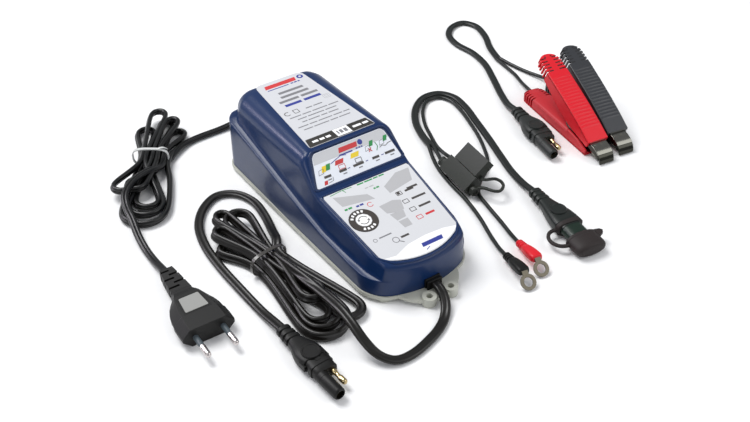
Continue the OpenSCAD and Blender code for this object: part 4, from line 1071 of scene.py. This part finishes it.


# the red clamp's inner material is the darker copy of its red, painted shade
for name, at, turn, mat, inner in (("red", (206, 49, 0), -98, RED, RED_PAINTED_SHADE),
        ("black", (229.5, 49, 0), -99.5, GREY, GREY)):
    a, b = radians(turn), radians(OPEN_ANGLE)
    up_at = (at[0] + PIVOT[0] * cos(a), at[1] + PIVOT[0] * sin(a), PIVOT[1])
    back = TAIL_BACK * cos(b)
    tail = (up_at[0] + back * cos(a), up_at[1] + back * sin(a), up_at[2] - TAIL_BACK * sin(b))
    plastic, jaws = name + "_plastic", name + "_jaws"
    lower = Piece(name + "_lower_grip", "clamp_lead", plastic, name + "_lower_handle", at=at, turn=turn)
    handle_shell(lower, mat, inner, 90, LOWER_FACE, LOWER_EDGE, None, 1)
    upper = Piece(name + "_upper_grip", jaws, plastic, name + "_upper_handle", at=tail, turn=turn,
        tilt=OPEN_ANGLE)
    handle_shell(upper, mat, inner, 84, UPPER_FACE, UPPER_EDGE, rib_height, -1)
    under = Piece(name + "_lower_jaw_sheet", "clamp_lead", "jaw_steel", name + "_lower_jaw", at=at,
        turn=turn)
    clamp_jaws(under, False)
    over = Piece(name + "_upper_jaw_sheet", jaws, "jaw_steel", name + "_upper_jaw", at=up_at, turn=turn,
        tilt=OPEN_ANGLE)
    clamp_jaws(over, True)
    for piece in (lower, upper):
        piece.done(40)
    for piece in (under, over):
        piece.done(40, bevel=0.2)
    paint(name + "_pivot", STEEL, 0.3)
    jaw_spring(name, at=at, turn=turn)


# ---------------------------------------------------------------- fuse holder, boots and rings

FUSE = dict(at=(87.2, 3.4, 7.65), turn=-95.5, roll=40)


def rect(x0, x1, z0, z1, y, way=1):
    return [(x0, y, z1), (x1, y, z1), (x1, y, z0), (x0, y, z0)][::way]


def neck_ring(x, r):
    return [(x, y, z) for y, z in polar(-1.6, -0.4, r, (np.arange(10) + 0.5) * pi / 5)]


holder = Piece("fuse_holder_body", "ring_lead", "fuse_plastic", "fuse_holder", **FUSE)
holder.add(skin([rect(0, 33, -4.5, 4.5, -6.5), rect(0, 33, -4.5, 4.5, 6.5), rect(7.1, 28.1, -2.8, 2.8, 6.5),
    rect(7.1, 28.1, -2.8, 2.8, 2.4)]), FUSE_GREY)
sleeve = loft_x([(-7, 6.8, 4.8, 3), (-6.6, 7.4, 5.2, 3), (-4.6, 7.6, 5.4, 3), (-4.4, 7.0, 4.8, 3),
    (-3.6, 7.0, 4.8, 3), (-3.4, 7.8, 5.6, 3), (1, 8.2, 5.8, 3)])
holder.add(moved(sleeve, (0, -1.8, 0)), FUSE_GREY)
holder.add(skin([neck_ring(x, r) for x, r in ((32.5, 2.9), (34.6, 2.9), (34.7, 3.7), (37.2, 3.7),
    (37.6, 3.3), (37.6, 2.3), (36.6, 2.1))]), FUSE_GREY)
holder.done(angle=30, bevel=0.35)
fuse_lid = Piece("fuse_holder_cap", "fuse_cap", "fuse_plastic", "fuse_cap", **FUSE)
fuse_lid.add(skin([rect(4, 31.2, -3.1, 4.5, 21.5, -1), rect(4, 31.2, -3.1, 4.5, 6.7, -1),
    rect(6, 29.2, -1.7, 3.1, 6.7, -1), rect(6, 29.2, -1.7, 3.1, 19.5, -1)]), FUSE_GREY)
fuse_lid.add(box(30.8, 33.4, 7.2, 10.4, -3.0, -0.2), FUSE_GREY)
fuse_lid.done(angle=30, bevel=0.35)
strap_path = spline([(92.3, -28.6, 10.9), (95.3, -29.6, 9.6), (99, -30.4, 9), (102.4, -31.9, 8.8),
    (103.9, -36.8, 8.8), (101.8, -41.9, 8.8), (96.2, -44.8, 8.8), (92.6, -43.1, 9), (90.5, -39.5, 9),
    (88.6, -35.7, 9), (85.4, -32.8, 8.4)], 0.7)
strap = Piece("fuse_cap_strap", None, "fuse_plastic")
strap.add(sweep(strap_path, super_section(2.3, 2.1, 2.4, 12)), FUSE_GREY)
strap = strap.done(angle=60)
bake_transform(strap)


def boot_shape(piece, mat):
    stations = [(0, 4.6, 4.4, 2.2)]
    for i in range(3):
        x = 0.5 + i * 2.3
        stations += [(x, 5.5 + i * 0.35, 5.1, 2.4), (x + 1.3, 5.7 + i * 0.35, 5.2, 2.4),
            (x + 1.5, 4.8 + i * 0.3, 4.5, 2.2), (x + 2.1, 4.9 + i * 0.3, 4.5, 2.2)]
    stations += [(7.6, 6.4, 5.2, 2.6), (11, 7.4, 5.9, 3), (15, 8.0, 6.3, 3.4), (19, 8.3, 6.2, 3.6),
        (22.4, 8.2, 5.6, 3.8), (23.6, 7.6, 5.0, 3.6), (24, 6.8, 4.2, 3.4)]
    piece.add(loft_x(stations), mat)


BOOT_LENGTH, BOOT_RISE, EYE_DROOP = 24.1, 11, 38


def ring_shape(piece, at, turn):
    a, rise = radians(turn), radians(BOOT_RISE)
    reach = BOOT_LENGTH * cos(rise)
    tip = (at[0] + reach * cos(a), at[1] + reach * sin(a), at[2] + BOOT_LENGTH * sin(rise))
    eye = plate(polar(7, 0, 5.5, np.arange(40) * pi / 20), [polar(7, 0, 3.2, np.arange(32) * pi / 16)],
        -0.5, 0.5)
    for shape in (eye, box(-1.5, 2.6, -2.2, 2.2, -0.55, 0.55)):
        piece.add(shape, TIN, at=tip, turn=turn, tilt=EYE_DROOP)


ends = {}
for name, at, turn, mat in (("positive", (74.2, -91.4, 4), -100.6, RED),
        ("negative", (58.6, -96.4, 4), -100.4, MOULD)):
    boot = Piece(name + "_boot_skin", "ring_lead", "red_plastic" if name == "positive" else "black_plastic",
        name + "_boot", at=at, turn=turn, tilt=-BOOT_RISE)
    boot_shape(boot, mat)
    eye = Piece(name + "_ring_eye", "ring_lead", "terminal_tin",
        *(["ring_terminals"] if name == "positive" else []))
    ring_shape(eye, at, turn)
    ends[name] = [boot.done(angle=50), eye.done(angle=30, bevel=0.25)]


# ---------------------------------------------------------------- strain reliefs, ties, inner parts

gland = Piece("dc_strain_relief", "charger", "cord_rubber", "dc_gland")
gland.add(box(-7.6, 7.6, -88, -85, 5.2, 14), MOULD)
for k in range(4):
    y, w = -95.6 + k * 2.4, 6.4 - 0.25 * (3 - k)
    gland.add(box(-w, w, y, y + 1.5, 5.2, 12.9 - 0.35 * (3 - k)), MOULD)
gland.add(box(-5.2, 5.2, -95.4, -86, 5.3, 11.6), MOULD)
dc_relief = gland.done(angle=30, bevel=0.4)
relief = Piece("mains_strain_relief", "charger", "cord_rubber", "mains_gland", at=(10, 105, 15), turn=90)
PROFILE = [(-5, 6.6), (-2.6, 6.8), (-2.4, 5.5), (0.1, 5.5), (0.2, 6.4), (3.0, 6.4), (3.2, 5.6)]
for k in range(5):
    x, r = 3.6 + k * 3.3, 5.6 - k * 0.42
    PROFILE += [(x, r), (x + 2.0, r - 0.1), (x + 2.2, r - 1.0), (x + 3.1, r - 1.1)]
relief.add(lathe_x(PROFILE + [(20, 3.0)]), MOULD)
mains_relief = relief.done(angle=40)


def tie_loop(name, at, turn, w, h, band, mat, slot_name, node):
    """A band round a hank."""
    sides, p = 72, 3.2
    k = np.linspace(0, 2 * pi, sides, endpoint=False)
    c, s = np.cos(k), np.sin(k)
    loop = np.stack([np.zeros(sides), (w / 2 + 0.5) * np.sign(c) * np.abs(c) ** (2 / p),
        h / 2 + (h / 2 - 0.7) * np.sign(s) * np.abs(s) ** (2 / p)], 1)
    rings = []
    for i, q in enumerate(loop):
        t = loop[(i + 1) % sides] - loop[i - 1]
        n = np.array([0, t[2], -t[1]]) / np.linalg.norm(t)
        half = np.array([band / 2, 0, 0])
        rings.append([q - half - n * 0.4, q + half - n * 0.4, q + half + n * 0.45, q - half + n * 0.45])
    piece = Piece(name, "charger", slot_name, node, at=(at[0], at[1], 0), turn=turn)
    piece.add(skin(rings, loop=True), mat)
    return piece


mains_tie = tie_loop("mains_tie_band", (-90, 135), 55, 25.4, 16, 2.4, CLEAR, "tie_clear", "mains_tie")
mains_tie.add(sweep(spline([(0, -6, 15.4), (0.6, -8.5, 16.0), (1.8, -10.6, 15.2), (3.4, -12, 13.2)], 0.7),
    super_section(2.0, 0.8, 3, 10)), CLEAR)
mains_tie = mains_tie.done(angle=40, bevel=0.15)
dc_tie = tie_loop("dc_tie_band", (-76, -15), 98, 26.4, 17, 2.6, DARK_TIE, "tie_dark", "dc_tie")
dc_tie = dc_tie.done(angle=40, bevel=0.15)

for node, mat, bevel in (("base_plate", PALE, 0.5), ("case_screws", STEEL, 0.1),
        ("touch_switch", BLACK, 0.2), ("led_board", BOARD, 0.1), ("led_windows", INK_PALE, 0.2),
        ("circuit_board", BOARD, 0.1), ("transformer_core", STEEL, 0.3), ("transformer_coil", COPPER, 0.8),
        ("capacitors", BLACK, 0.6), ("heatsink", STEEL, 0.2), ("power_transistors", BLACK, 0.3),
        ("blade_fuse", FUSE_BODY, 0.3)):
    paint(node, mat, bevel)


# ---------------------------------------------------------------- each wire's object, path and route, read back and not used

for name, far_end, with_pieces in (("red_wire", "object", []), ("black_wire", "object", []),
        ("negative_wire", "fitting", ends["negative"]), ("positive_wire", "fitting", ends["positive"])):
    o, path, route = wires[name]


# ---------------------------------------------------------------- floor and light

def stage_floor():
    me = bpy.data.meshes.new("floor")
    n, size = 24, 4.0
    g = np.linspace(-size, size, n)
    verts = [(x, y, 0.0) for y in g for x in g]
    faces = [(j * n + i, j * n + i + 1, (j + 1) * n + i + 1, (j + 1) * n + i)
        for j in range(n - 1) for i in range(n - 1)]
    me.from_pydata(verts, [], faces)
    floor = bpy.data.objects.new("floor", me)
    bpy.context.scene.collection.objects.link(floor)
    floor.location.z = -0.0002
    me.materials.append(material("floor_white", (246, 246, 246), 0.7))


stage_floor()

world = bpy.data.worlds.new("World")
bpy.context.scene.world = world
world.use_nodes = True
world.node_tree.nodes["Background"].inputs["Color"].default_value = (0.93, 0.95, 1.0, 1)
world.node_tree.nodes["Background"].inputs["Strength"].default_value = 0.42
bpy.context.scene.view_settings.view_transform = "Standard"


def area_light(name, at, target, size, watts, tint=(1, 1, 1), gloss_only=False):
    data = bpy.data.lights.new(name, "AREA")
    data.size = size
    data.energy = watts
    data.color = tint
    o = bpy.data.objects.new(name, data)
    bpy.context.scene.collection.objects.link(o)
    o.location = at
    o.rotation_euler = (Vector(target) - Vector(at)).to_track_quat("-Z", "Y").to_euler()
    o.visible_diffuse = not gloss_only


area_light("key", (-0.35, 0.75, 1.5), (0, 0, 0), 0.9, 24)
area_light("left", (-1.4, -0.3, 0.8), (0, 0, 0.03), 0.6, 3, (0.95, 0.96, 1.0))
area_light("fill", (0.9, -1.0, 1.1), (0, 0, 0), 1.2, 9)
area_light("shoulder_glint", (-0.93, 1.04, 0.75), (0, 0, 0.04), 0.4, 7, (0.95, 0.88, 1.0), gloss_only=True)
